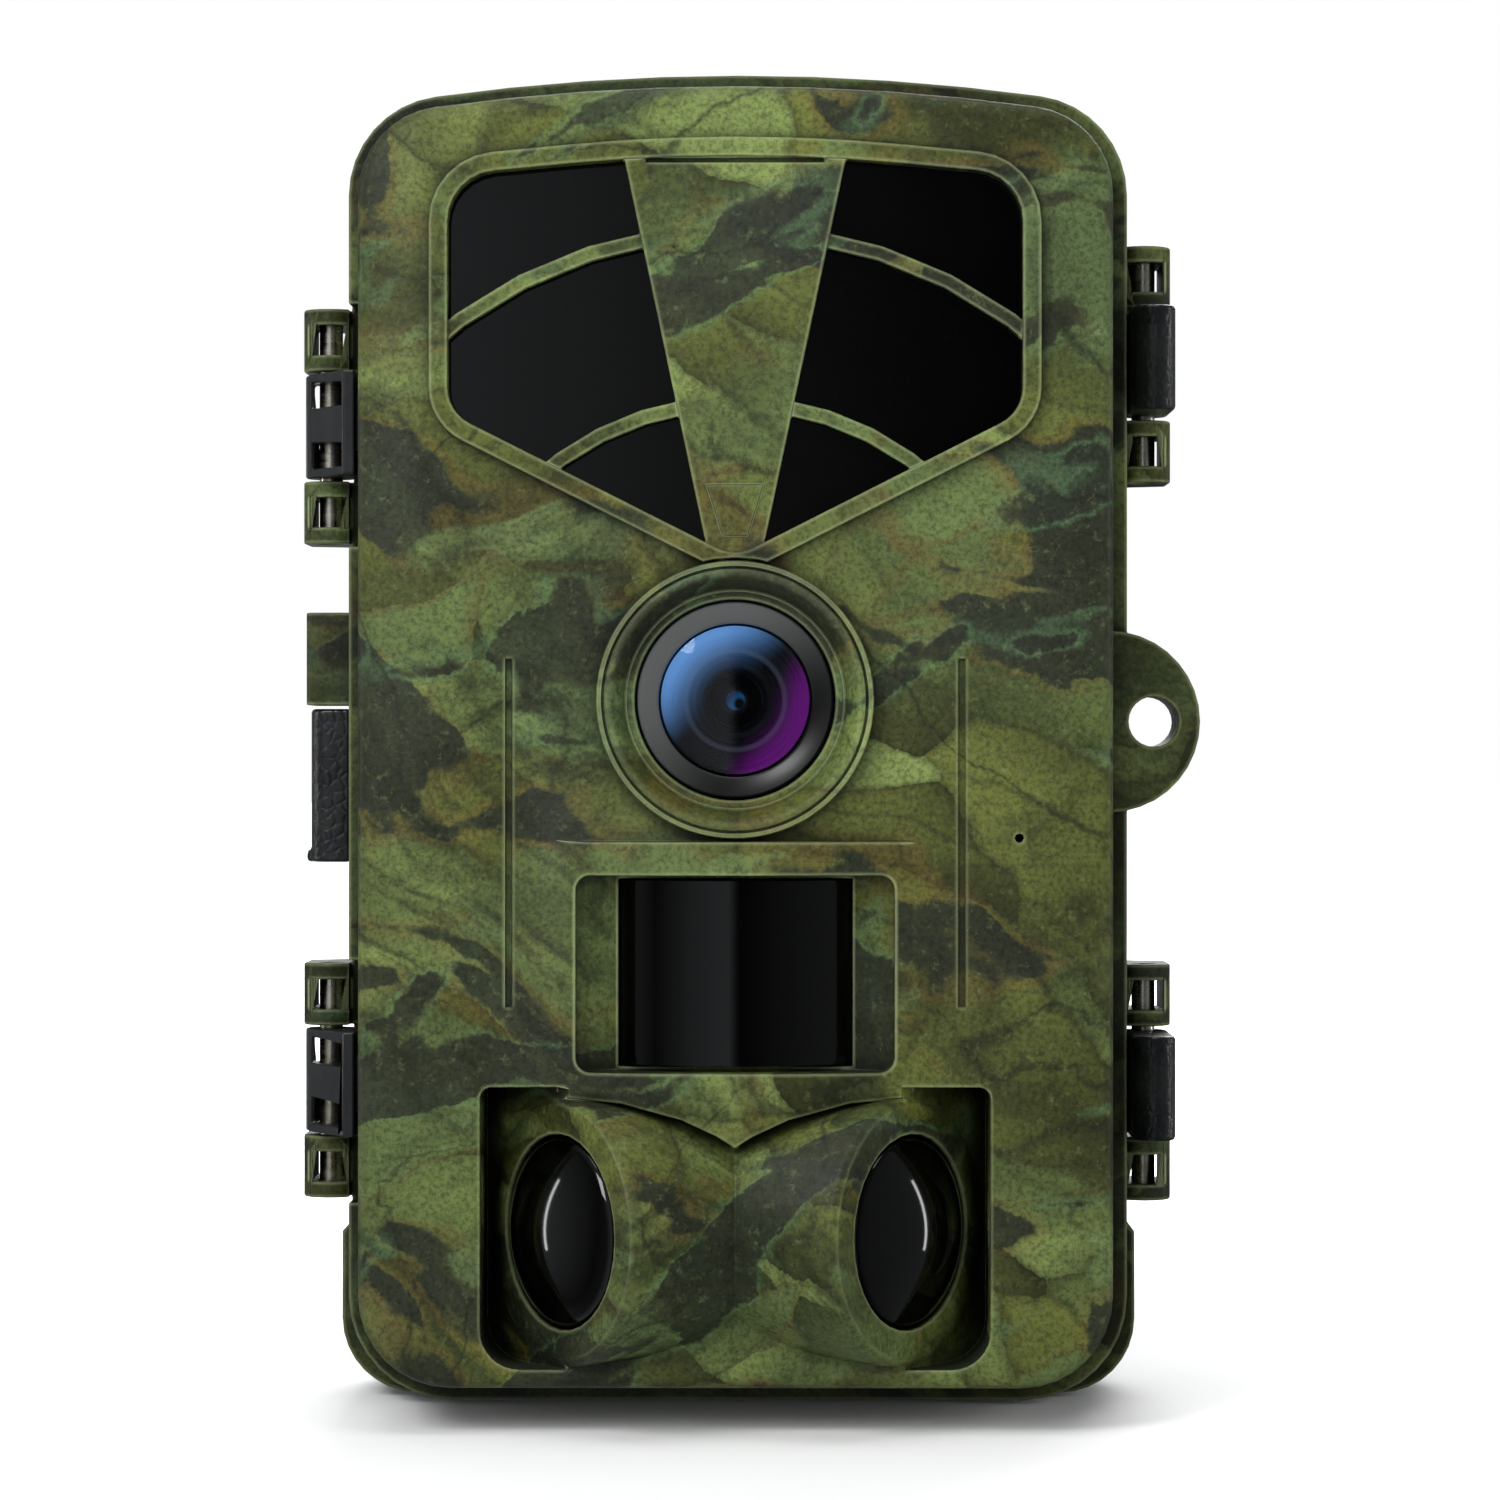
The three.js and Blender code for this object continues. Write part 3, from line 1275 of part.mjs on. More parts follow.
function addRearHalf() {
  add(rearHalf, "rear_shell", rearShell(), CAMO);
  add(rearHalf, "case_seal", caseSeal(), RUBBER);
  add(rearHalf, "tripod_insert", tripodInsert(), BRASS);
  add(rearHalf, "battery_tray", batteryTray(), GREY);
  const board = CONTACT.board;
  add(rearHalf, "contact_board_bottom", contactBoard(ROW_Z[0] - board, null, 0), STEEL);
  add(rearHalf, "contact_board_middle", contactBoard(ROW_Z[1] - board, 0, 1), STEEL);
  add(rearHalf, "contact_board_top", contactBoard(ROW_Z[1] + ROW, 1, null), STEEL);
  for (const row of [0, 1])
    for (let column = 0; column < CELL.columns; column++)
      add(rearHalf, "cell_" + (row * CELL.columns + column + 1), cell(row, column), CELL_SKIN);
  ["lower", "upper"].forEach((name, i) => {
    add(rearHalf, "hinge_pin_" + name, pin(-1, HINGE.z[i], 0, BARREL.gap), STEEL);
    add(rearHalf, "latch_pin_" + name, pin(1, LATCH.z[i], LATCH.pinY, LATCH.gap), STEEL);
    add(rearHalf, "latch_lever_" + name, latchLever(LATCH.z[i]), RUBBER);
  });
  add(rearHalf, "port_cover", portCover(), RUBBER);
  add(rearHalf, "dc_jack", dcJack(), BLACK);
  add(rearHalf, "battery_lead", batteryLead(), RUBBER);
}

addFrontHalf();
addRearHalf();

export default camera;
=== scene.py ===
"""A camouflage trail camera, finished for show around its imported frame. Lengths are in metres."""

import json
import math

import bmesh
import bpy
from mathutils import Matrix, Vector
from mathutils.geometry import intersect_point_line

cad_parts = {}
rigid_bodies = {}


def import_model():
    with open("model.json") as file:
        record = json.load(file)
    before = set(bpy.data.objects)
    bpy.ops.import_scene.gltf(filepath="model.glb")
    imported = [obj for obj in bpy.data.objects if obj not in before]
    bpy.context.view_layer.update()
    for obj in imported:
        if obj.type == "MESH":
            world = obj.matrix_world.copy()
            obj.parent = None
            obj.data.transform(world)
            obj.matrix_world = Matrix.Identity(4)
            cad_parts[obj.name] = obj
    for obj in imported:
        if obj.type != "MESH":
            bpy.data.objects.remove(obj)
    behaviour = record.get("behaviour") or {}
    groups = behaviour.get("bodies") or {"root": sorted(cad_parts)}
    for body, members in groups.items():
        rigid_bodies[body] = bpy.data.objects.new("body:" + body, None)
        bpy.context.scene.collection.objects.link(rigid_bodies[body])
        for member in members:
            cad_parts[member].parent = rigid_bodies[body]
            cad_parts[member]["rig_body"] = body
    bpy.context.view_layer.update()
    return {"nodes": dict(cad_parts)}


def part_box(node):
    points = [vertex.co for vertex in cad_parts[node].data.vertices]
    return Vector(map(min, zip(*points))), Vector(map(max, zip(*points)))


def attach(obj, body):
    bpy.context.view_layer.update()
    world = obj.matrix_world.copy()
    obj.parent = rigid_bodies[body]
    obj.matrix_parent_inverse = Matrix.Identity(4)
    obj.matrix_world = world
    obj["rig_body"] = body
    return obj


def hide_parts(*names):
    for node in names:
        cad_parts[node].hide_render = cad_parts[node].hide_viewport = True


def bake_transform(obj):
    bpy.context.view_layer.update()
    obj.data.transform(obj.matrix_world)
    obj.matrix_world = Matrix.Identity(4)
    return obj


MM = 0.001
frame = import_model()

# ------------------------------------------------------------------ places taken from the frame


def middle(node):
    low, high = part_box(node)
    return (low + high) / 2


SHELL_LOW, SHELL_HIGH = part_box("front_shell")
LENS = middle("lens_bezel")
LENS_RING = (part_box("lens_bezel")[1].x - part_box("lens_bezel")[0].x) / 2
LENS_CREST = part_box("lens_bezel")[0].y
BEAD_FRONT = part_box("window_bezel")[0].y
FACE_Y = BEAD_FRONT + 1.3 * MM
SIDE_ANGLE = math.radians(54)

# ------------------------------------------------------------------ node graphs for the materials


class Finish:
    """A node material under construction."""

    def __init__(self, name):
        self.material = bpy.data.materials.new(name)
        self.material.use_nodes = True
        self.tree = self.material.node_tree
        self.shader = self.tree.nodes["Principled BSDF"]
        self.place = self.tree.nodes.new("ShaderNodeTexCoord").outputs["Object"]

    def wire(self, value, socket):
        if isinstance(value, bpy.types.NodeSocket):
            self.tree.links.new(value, socket)
        elif value is not None:
            socket.default_value = value

    def mapped(self, stretch=(1, 1, 1), turn=(0, 0, 0), shift=(0, 0, 0), source=None):
        """Coordinates that turn a pattern and then draw it out along its own axes."""
        node = self.tree.nodes.new("ShaderNodeMapping")
        node.vector_type = "TEXTURE"
        self.wire(source or self.place, node.inputs["Vector"])
        node.inputs["Scale"].default_value = stretch
        node.inputs["Rotation"].default_value = turn
        node.inputs["Location"].default_value = shift
        return node.outputs[0]

    def noise(self, scale, source=None, detail=3, roughness=0.5, distortion=0.0, output="Fac"):
        node = self.tree.nodes.new("ShaderNodeTexNoise")
        self.wire(source or self.place, node.inputs["Vector"])
        node.inputs["Scale"].default_value = scale
        node.inputs["Detail"].default_value = detail
        node.inputs["Roughness"].default_value = roughness
        node.inputs["Distortion"].default_value = distortion
        return node.outputs[output]

    def cells(self, scale, source=None, output="Distance", feature="F1"):
        node = self.tree.nodes.new("ShaderNodeTexVoronoi")
        node.feature = feature
        self.wire(source or self.place, node.inputs["Vector"])
        node.inputs["Scale"].default_value = scale
        return node.outputs[output]

    def rings(self, scale, source):
        """Even rings about the Y axis."""
        node = self.tree.nodes.new("ShaderNodeTexWave")
        node.wave_type = "RINGS"
        node.rings_direction = "Y"
        self.wire(source, node.inputs["Vector"])
        node.inputs["Scale"].default_value = scale
        return node.outputs["Fac"]

    def math(self, operation, first, second=None):
        node = self.tree.nodes.new("ShaderNodeMath")
        node.operation = operation
        for value, socket in zip((first, second), node.inputs):
            self.wire(value, socket)
        return node.outputs[0]

    def hypot(self, first, second):
        squares = [self.math("MULTIPLY", value, value) for value in (first, second)]
        return self.math("SQRT", self.math("ADD", *squares))

    def vector(self, operation, first, second=None, scale=None):
        node = self.tree.nodes.new("ShaderNodeVectorMath")
        node.operation = operation
        self.wire(first, node.inputs[0])
        self.wire(second, node.inputs[1])
        if scale is not None:
            self.wire(scale, node.inputs["Scale"])
        return node.outputs["Value" if operation in ("DOT_PRODUCT", "LENGTH") else "Vector"]

    def spread(self, value, low, high, start=0.0, end=1.0, smooth=False):
        """Maps value from low..high to start..end."""
        node = self.tree.nodes.new("ShaderNodeMapRange")
        node.interpolation_type = "SMOOTHSTEP" if smooth else "LINEAR"
        self.wire(value, node.inputs["Value"])
        for name, number in (("From Min", low), ("From Max", high), ("To Min", start), ("To Max", end)):
            node.inputs[name].default_value = number
        return node.outputs["Result"]

    def mix(self, share, first, second):
        node = self.tree.nodes.new("ShaderNodeMix")
        node.data_type = "RGBA"
        self.wire(share, node.inputs["Factor"])
        self.wire(first, node.inputs[6])
        self.wire(second, node.inputs[7])
        return node.outputs[2]

    def shelter(self, distance, inside=False):
        """1 in the open, less in a crevice, or less near an outer edge when it looks inside."""
        node = self.tree.nodes.new("ShaderNodeAmbientOcclusion")
        node.samples = 6
        node.inside = inside
        node.inputs["Distance"].default_value = distance
        return node.outputs["AO"]

    def parts(self, vector):
        node = self.tree.nodes.new("ShaderNodeSeparateXYZ")
        self.wire(vector, node.inputs[0])
        return node.outputs

    def bump(self, height, strength, distance, under=None):
        node = self.tree.nodes.new("ShaderNodeBump")
        self.wire(height, node.inputs["Height"])
        node.inputs["Strength"].default_value = strength
        node.inputs["Distance"].default_value = distance
        self.wire(under, node.inputs["Normal"])
        return node.outputs["Normal"]

    def finish(self, colour=None, roughness=None, normal=None, **sockets):
        self.wire(colour, self.shader.inputs["Base Color"])
        self.wire(roughness, self.shader.inputs["Roughness"])
        self.wire(normal, self.shader.inputs["Normal"])
        for name, value in sockets.items():
            self.wire(value, self.shader.inputs[name.replace("_", " ")])
        return self.material


def rgb(red, green, blue):
    """A colour given in everyday 0..255 steps, as the linear values that Blender works in."""

    def linear(step):
        share = step / 255
        return share / 12.92 if share <= 0.04045 else ((share + 0.055) / 1.055) ** 2.4

    return (linear(red), linear(green), linear(blue), 1.0)


# ------------------------------------------------------------------ finishes

LEAF_SIZE = 11 * MM


def camouflage():
    """Printed leaves in sage, olive and dark grey, with darker veins and edges, on moulded plastic, with
    painted shade towards the back and in crevices and painted highlights on outer edges.
    """
    f = Finish("camouflage")
    wander = f.vector("SUBTRACT", f.noise(30, detail=2, output="Color"), (0.5, 0.5, 0.5))
    warped = f.vector("ADD", f.place, f.vector("SCALE", wander, scale=24 * MM))
    ragged = f.vector("SUBTRACT", f.noise(300, detail=4, roughness=0.65, output="Color"), (0.5, 0.5, 0.5))
    warped = f.vector("ADD", warped, f.vector("SCALE", ragged, scale=2.4 * MM))

    def leaves(turn, shift, size):
        """How far along each leaf, a random tint for it, and how far in from its edge."""
        drawn = f.mapped((2.3, 1.6, 0.8), (0, turn, 0), shift, warped)
        tint = f.cells(1 / size, drawn, "Color")
        away = f.vector("SUBTRACT", drawn, f.cells(1 / size, drawn, "Position"))
        lean = f.vector("NORMALIZE", f.vector("SUBTRACT", tint, (0.5, 0.5, 0.5)))
        end = f.spread(f.vector("DOT_PRODUCT", away, lean), -0.45 * size, 0.45 * size)
        inside = f.cells(1 / size, drawn, "Distance", "DISTANCE_TO_EDGE")
        return end, f.vector("DOT_PRODUCT", tint, (1, 0, 0)), inside

    end, pick, inside = leaves(0.5, (0.011, 0.004, 0.021), LEAF_SIZE)
    sage = f.mix(end, rgb(50, 58, 26), rgb(98, 112, 60))
    olive = f.mix(end, rgb(42, 46, 18), rgb(82, 88, 38))
    colour = f.mix(f.spread(pick, 0.35, 0.65), olive, sage)
    colour = f.mix(f.spread(inside, 0.0, 0.07, 0.5, 0.0), colour, rgb(28, 28, 14))

    end, pick, inside = leaves(-0.35, (0.043, 0.02, 0.005), 1.3 * LEAF_SIZE)
    moss = f.mix(end, rgb(40, 46, 22), rgb(78, 92, 50))
    over = f.math("MULTIPLY", f.spread(pick, 0.5, 0.54), f.spread(end, 0.15, 0.75))
    colour = f.mix(over, colour, moss)
    edge = f.math("MULTIPLY", over, f.spread(inside, 0.0, 0.05, 0.6, 0.0))
    colour = f.mix(edge, colour, rgb(74, 60, 28))

    def patches(scale, turn, shift, low, fringe, first, second, share):
        """Blots with a coloured fringe where they thin out."""
        blot = f.noise(scale, f.mapped((2.2, 1.4, 0.8), (0, turn, 0), shift, warped), 3, 0.5, 0.3)
        outside = f.spread(blot, low - 0.03, low)
        rim = f.math("MULTIPLY", outside, f.spread(blot, low + 0.002, low + 0.02, 1.0, 0.0))
        toned = f.mix(f.math("MULTIPLY", rim, 0.36), colour, fringe)
        shade = f.mix(f.noise(110, warped, 3), first, second)
        return f.mix(f.spread(blot, low, low + 0.018, 0.0, share, smooth=True), toned, shade)

    blots = (
        (54, 0.3, (0.31, 0.1, 0.2), 0.56, rgb(86, 66, 30), rgb(16, 19, 14), rgb(40, 44, 35), 0.9),
        (62, -0.4, (0.83, 0.4, 0.6), 0.58, rgb(74, 104, 70), rgb(20, 24, 18), rgb(40, 45, 35), 0.86),
        (48, -0.2, (0.13, 0.7, 0.9), 0.6, rgb(60, 64, 34), rgb(70, 86, 46), rgb(92, 110, 68), 0.6),
    )
    for blot in blots:
        colour = patches(*blot)

    for scale, turn, shift in ((20, 0.9, (4, 2, 7)), (26, -0.7, (1, 5, 3))):
        line = f.noise(scale, f.mapped((1.4, 1, 0.8), (0, turn, 0), shift, warped), 1)
        line = f.spread(f.math("ABSOLUTE", f.math("SUBTRACT", line, 0.5)), 0.0, 0.006, 0.7, 0.0)
        line = f.math("MULTIPLY", line, f.spread(f.noise(34, f.mapped(shift=shift), 1), 0.45, 0.55))
        colour = f.mix(line, colour, rgb(26, 28, 18))
    for turn, shift in ((0.6, (5, 1, 2)), (-0.5, (2, 6, 8))):
        fibre = f.noise(420, f.mapped((6, 1, 0.9), (0, turn, 0), shift, warped), 3, 0.6)
        where = f.spread(f.noise(26, f.mapped(shift=shift), 1), 0.42, 0.6)
        fibre = f.math("MULTIPLY", where, f.spread(fibre, 0.46, 0.68, 0.0, 0.62))
        colour = f.mix(fibre, colour, rgb(24, 27, 16))
    fleck = f.spread(f.noise(1900, detail=3, roughness=0.7), 0.42, 0.66, 0.0, 0.55)
    colour = f.mix(fleck, colour, rgb(12, 15, 8))
    speck = f.spread(f.noise(760, detail=4, roughness=0.8), 0.56, 0.74, 0.0, 0.3)
    colour = f.mix(speck, colour, rgb(104, 118, 72))
    # Painted shade: the print darkens towards the back of the case, reaching its darkest from 8 mm in front
    # of the middle, where the set-back sides lie in shade.
    colour = f.mix(f.spread(f.parts(f.place)["Y"], -24 * MM, -8 * MM, 0.0, 0.42), colour, rgb(10, 12, 6))
    # Painted shade: the print goes nearly black in crevices and between parts, where little light reaches.
    colour = f.mix(f.spread(f.shelter(2.4 * MM), 0.3, 0.9, 0.9, 0.0), colour, rgb(6, 8, 4))
    # Painted highlight: outer edges are lightened, as if catching the light.
    painted_edge_highlight = f.spread(f.shelter(0.45 * MM, inside=True), 0.5, 0.92, 0.6, 0.0)
    colour = f.mix(painted_edge_highlight, colour, rgb(132, 142, 104))

    grain = f.bump(f.noise(2100, detail=3, roughness=0.6), 0.4, 0.15 * MM)
    grain = f.bump(f.noise(260, detail=3), 0.16, 0.3 * MM, grain)
    rough = f.spread(f.noise(500, detail=4), 0.3, 0.7, 0.42, 0.56)
    return f.finish(colour, rough, grain, Specular_IOR_Level=0.16)


def moulded(name, dark, light, roughness=0.5, grain=0.2):
    """Plain moulded plastic or rubber with a fine skin and faint streaks."""
    f = Finish(name)
    colour = f.mix(f.spread(f.noise(140, detail=4, roughness=0.7), 0.35, 0.7), dark, light)
    skin = f.bump(f.noise(2200, detail=3, roughness=0.65), grain, 0.12 * MM)
    skin = f.bump(f.noise(180, detail=2), 0.08, 0.3 * MM, skin)
    rough = f.spread(f.noise(420, detail=4), 0.3, 0.7, roughness - 0.08, roughness + 0.1)
    return f.finish(colour, rough, skin)


def leathery(name):
    """Rubber with the creased, glossy skin of a soft latch."""
    f = Finish(name)
    colour = f.mix(f.spread(f.noise(200, detail=4), 0.35, 0.7), rgb(5, 7, 8), rgb(18, 21, 21))
    pores = f.cells(900, output="Distance", feature="DISTANCE_TO_EDGE")
    skin = f.bump(f.spread(pores, 0.0, 0.25), 0.35, 0.12 * MM)
    skin = f.bump(f.noise(300, detail=3), 0.2, 0.3 * MM, skin)
    rough = f.spread(f.noise(420, detail=4), 0.3, 0.7, 0.28, 0.45)
    return f.finish(colour, rough, skin)


def polished(name, colour):
    """Glossy dark plastic that lets infrared through, with the faintest dust and polish marks."""
    f = Finish(name)
    dust = f.spread(f.noise(3200, detail=2), 0.68, 0.8)
    tone = f.mix(f.math("MULTIPLY", dust, 0.05), colour, rgb(70, 70, 72))
    rough = f.spread(f.noise(90, detail=3), 0.3, 0.7, 0.05, 0.1)
    return f.finish(tone, rough, None, Specular_IOR_Level=0.3)


def metal(name, colour, worn, roughness=0.25):
    """Bare metal with fine drawn lines and a few duller patches."""
    f = Finish(name)
    lines = f.noise(600, f.mapped((30, 30, 0.5)), 3, 0.7)
    tone = f.mix(f.spread(f.noise(300, detail=4, roughness=0.7), 0.4, 0.75), colour, worn)
    rough = f.spread(lines, 0.3, 0.7, roughness - 0.08, roughness + 0.15)
    return f.finish(tone, rough, f.bump(lines, 0.15, 0.05 * MM), Metallic=1.0)


def screen():
    """Black glass with the faintly paler picture area of a display that is off."""
    f = Finish("screen")
    low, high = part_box("display")
    split = f.parts(f.vector("SUBTRACT", f.place, tuple((low + high) / 2)))
    across = f.spread(f.math("ABSOLUTE", split["X"]), 22.3 * MM, 22.4 * MM, 1.0, 0.0)
    upward = f.spread(f.math("ABSOLUTE", split["Z"]), 16.6 * MM, 16.7 * MM, 1.0, 0.0)
    tone = f.mix(f.math("MULTIPLY", across, upward), rgb(2, 2, 2), rgb(17, 19, 23))
    return f.finish(tone, f.spread(f.noise(70), 0.3, 0.7, 0.04, 0.1))


def glass(name, tint):
    f = Finish(name)
    return f.finish(tint, 0.0, None, Transmission_Weight=1.0, IOR=1.25)


def lens_painted_reflections():
    """The dark stack behind the cover glass: black, with a painted blue reflection towards the upper left, a
    painted violet reflection towards the lower right and faint paler rings, its colour also given off as
    painted glow.
    """
    f = Finish("lens_painted_reflections")
    around = f.vector("SUBTRACT", f.place, tuple(LENS))
    split = f.parts(around)
    x, z = split["X"], split["Z"]
    radius = f.hypot(x, z)
    # Painted reflections: blue towards the upper left and violet towards the lower right, each in its own
    # band of radius.
    upper_left = f.math("SUBTRACT", f.math("MULTIPLY", z, 0.75), f.math("MULTIPLY", x, 0.66))
    upper_left = f.spread(upper_left, 0.2 * MM, 7 * MM, smooth=True)
    lower_right = f.math("ADD", f.math("MULTIPLY", z, -0.5), f.math("MULTIPLY", x, 0.87))
    lower_right = f.spread(lower_right, 2 * MM, 6 * MM, smooth=True)
    blue = f.math("MULTIPLY", upper_left, f.spread(radius, 2.8 * MM, 6.8 * MM))
    violet = f.math("MULTIPLY", lower_right, f.spread(radius, 3.4 * MM, 6.4 * MM))
    colour = f.mix(blue, rgb(2, 2, 4), rgb(108, 160, 222))
    colour = f.mix(violet, colour, rgb(92, 6, 104))
    line = f.spread(f.rings(95, around), 0.9, 1.0)
    colour = f.mix(f.math("MULTIPLY", line, 0.12), colour, rgb(120, 126, 150))
    # Painted glow: the lens colour is given off as light, though the lens is no lamp.
    glow = {"Emission_Color": colour, "Emission_Strength": 0.65}
    return f.finish(colour, 0.3, None, Specular_IOR_Level=0.15, **glow)


PUPIL_SHADOW = (LENS.x + 0.4 * MM, 0, LENS.z - 0.35 * MM)  # the dark part of the pupil, off its centre


def lens_pupil():
    """The small front element: black, with a painted cyan highlight, shaped as a crescent, in its middle,
    brighter towards the lower right.
    """
    f = Finish("lens_pupil")
    split = f.parts(f.vector("SUBTRACT", f.place, tuple(LENS)))
    x, z = split["X"], split["Z"]
    # Painted highlight: cyan, brighter towards the lower right, kept to a crescent round a dark hole off the
    # centre.
    lower = f.spread(f.math("SUBTRACT", x, z), -0.9 * MM, 1.1 * MM)
    painted_cyan_highlight = f.mix(lower, rgb(20, 70, 120), rgb(50, 160, 240))
    shadow = f.vector("LENGTH", f.vector("SUBTRACT", f.vector("MULTIPLY", f.place, (1, 0, 1)), PUPIL_SHADOW))
    disc = f.spread(f.hypot(x, z), 0.85 * MM, 1.05 * MM, 1.0, 0.0)
    crescent = f.math("MULTIPLY", disc, f.spread(shadow, 0.4 * MM, 0.75 * MM))
    colour = f.mix(crescent, rgb(3, 3, 5), painted_cyan_highlight)
    return f.finish(colour, 0.08, None, Specular_IOR_Level=0.3)


def surround():
    """The satin disc round the glass, with a painted highlight: paler towards the upper left, black towards
    the lower right.
    """
    f = Finish("surround")
    split = f.parts(f.vector("SUBTRACT", f.place, tuple(LENS)))
    slant = f.math("SUBTRACT", split["Z"], split["X"])
    # Painted highlight: paler towards the upper left, darker towards the lower right.
    tone = f.mix(f.spread(slant, -10 * MM, 12 * MM, smooth=True), rgb(4, 4, 4), rgb(66, 67, 67))
    return f.finish(tone, 0.32, f.bump(f.noise(1800), 0.1, 0.05 * MM), Specular_IOR_Level=0.3)


CAMO = camouflage()
INSIDE = moulded("bare_plastic", rgb(24, 28, 18), rgb(36, 41, 28), 0.5)
CAN = metal("cell_can", rgb(196, 196, 192), rgb(160, 160, 152), 0.3)
COPPER = moulded("cell_gold_sleeve", rgb(168, 112, 44), rgb(190, 134, 62), 0.26, 0.04)
TIN = metal("tinned", rgb(190, 190, 186), rgb(150, 148, 140), 0.3)
BLACK = moulded("black_plastic", rgb(8, 9, 10), rgb(20, 21, 22), 0.36)
RUBBER = leathery("black_rubber")
KEYS = moulded("key_rubber", rgb(46, 48, 50), rgb(60, 62, 64), 0.6, 0.3)
GREY = moulded("grey_plastic", rgb(38, 40, 42), rgb(54, 56, 58), 0.5)
DARK_WINDOW = polished("dark_window", rgb(1, 1, 1))
STEEL = metal("steel", rgb(205, 200, 188), rgb(150, 140, 116))
BRASS = metal("brass", rgb(196, 158, 92), rgb(140, 108, 60))
BOARD = moulded("circuit_board", rgb(18, 62, 34), rgb(30, 84, 46), 0.35, 0.1)
SLEEVE = moulded("cell_sleeve", rgb(14, 15, 17), rgb(24, 25, 28), 0.24, 0.05)
SCREEN = screen()
LENS_GLASS = glass("lens_glass", (0.9, 0.95, 1.0, 1.0))
LENS_STACK = lens_painted_reflections()
TRIM = surround()
PUPIL = lens_pupil()

# ------------------------------------------------------------------ making pieces


def piece(name, bm, material, body, nodes=(), sharp=35):
    """Turns a finished bmesh into an object that rides on a body and stands for some CAD nodes."""
    mesh = bpy.data.meshes.new(name)
    bm.to_mesh(mesh)
    bm.free()
    mesh.materials.append(material)
    mesh.shade_smooth()
    mesh.set_sharp_from_angle(angle=math.radians(sharp))
    obj = bpy.data.objects.new(name, mesh)
    bpy.context.scene.collection.objects.link(obj)
    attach(obj, body)
    if nodes:
        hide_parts(*nodes)
    return obj


def rounded_edges(obj, width):
    bevel = obj.modifiers.new("rounded", "BEVEL")
    bevel.width = width
    bevel.segments = 2
    bevel.limit_method = "ANGLE"
    bevel.angle_limit = math.radians(50)
    bevel.use_clamp_overlap = False
    bevel.harden_normals = True


HOLLOW_X, HOLLOW_Z = 38.4 * MM, 68.4 * MM  # inner faces are no farther than this from the middle
WALL_X, WALL_Z = 34.5 * MM, 61 * MM  # inner side walls are farther than one of these


def faces_inward(face, depth):
    """Whether a face of a half case is an inner one. depth holds the hollow's floor and mouth along Y."""
    spot, normal = face.calc_center_median(), face.normal
    heart = Vector((0, 0, (SHELL_LOW.z + SHELL_HIGH.z) / 2))
    reach = spot - heart
    if abs(spot.x) > HOLLOW_X or abs(reach.z) > HOLLOW_Z:
        return False
    if (spot.y - depth[0]) * (spot.y - depth[1]) > 0:
        return False
    opening = 1 if depth[1] > depth[0] else -1
    if normal.y * opening > 0.5:
        return True
    edge = abs(spot.x) > WALL_X or abs(reach.z) > WALL_Z
    return edge and abs(normal.y) < 0.5 and normal.dot(reach) < 0


def passes_close(start, end, verts, near=0.45 * MM):
    """Whether a line runs close by one of some corners that it doesn't end on."""
    for vert in verts:
        if vert is start or vert is end:
            continue
        foot, along = intersect_point_line(vert.co, start.co, end.co)
        if 0 < along < 1 and (vert.co - foot).length < near:
            return True
    return False


def clear_corners(obj):
    """Redraws a long cut across a flat side that runs so close by a corner that rounding would cross it."""
    bm = bmesh.new()
    bm.from_mesh(obj.data)
    flat = [edge for edge in bm.edges if len(edge.link_faces) == 2 and edge.calc_length() > 5 * MM]
    for cut in [edge for edge in flat if edge.calc_face_angle() < math.radians(0.5)]:
        corners = {vert for face in cut.link_faces for vert in face.verts}
        if not passes_close(*cut.verts, corners):
            continue
        for loop in cut.link_loops[:]:
            start, end = loop.vert, loop.link_loop_next.vert
            beyond = loop.link_loop_next.link_loop_next.vert
            turn = (end.co - start.co).cross(beyond.co - end.co).dot(loop.face.normal)
            if turn > 0 and not passes_close(start, beyond, corners):
                bmesh.utils.face_split(loop.face, start, beyond)
                bmesh.ops.dissolve_edges(bm, edges=[cut], use_verts=False)
                break
    bm.to_mesh(obj.data)
    bm.free()


def line_inside(obj, depth):
    """The inner faces of a half case are bare plastic."""
    mesh = obj.data
    mesh.materials.append(INSIDE)
    bm = bmesh.new()
    bm.from_mesh(mesh)
    for face in bm.faces:
        face.material_index = int(faces_inward(face, depth))
    bm.to_mesh(mesh)
    bm.free()


def softened(node, material, width):
    """A CAD node's own shape with its faces made whole and its edges rounded."""
    source = frame["nodes"][node]
    bm = bmesh.new()
    bm.from_mesh(source.data)
    bmesh.ops.remove_doubles(bm, verts=bm.verts, dist=2e-6)
    bmesh.ops.dissolve_limit(bm, angle_limit=math.radians(0.8), verts=bm.verts, edges=bm.edges)
    obj = piece(node + "_finished", bm, material, source["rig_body"], [node])
    if width:
        rounded_edges(obj, width)
    return obj


def dress(node, material):
    """A CAD node whose shape is right keeps it and gets a finish."""
    mesh = frame["nodes"][node].data
    mesh.materials.clear()
    mesh.materials.append(material)


def placed(matrix, points):
    return [matrix @ Vector((radius, along, 0)) for radius, along in points]


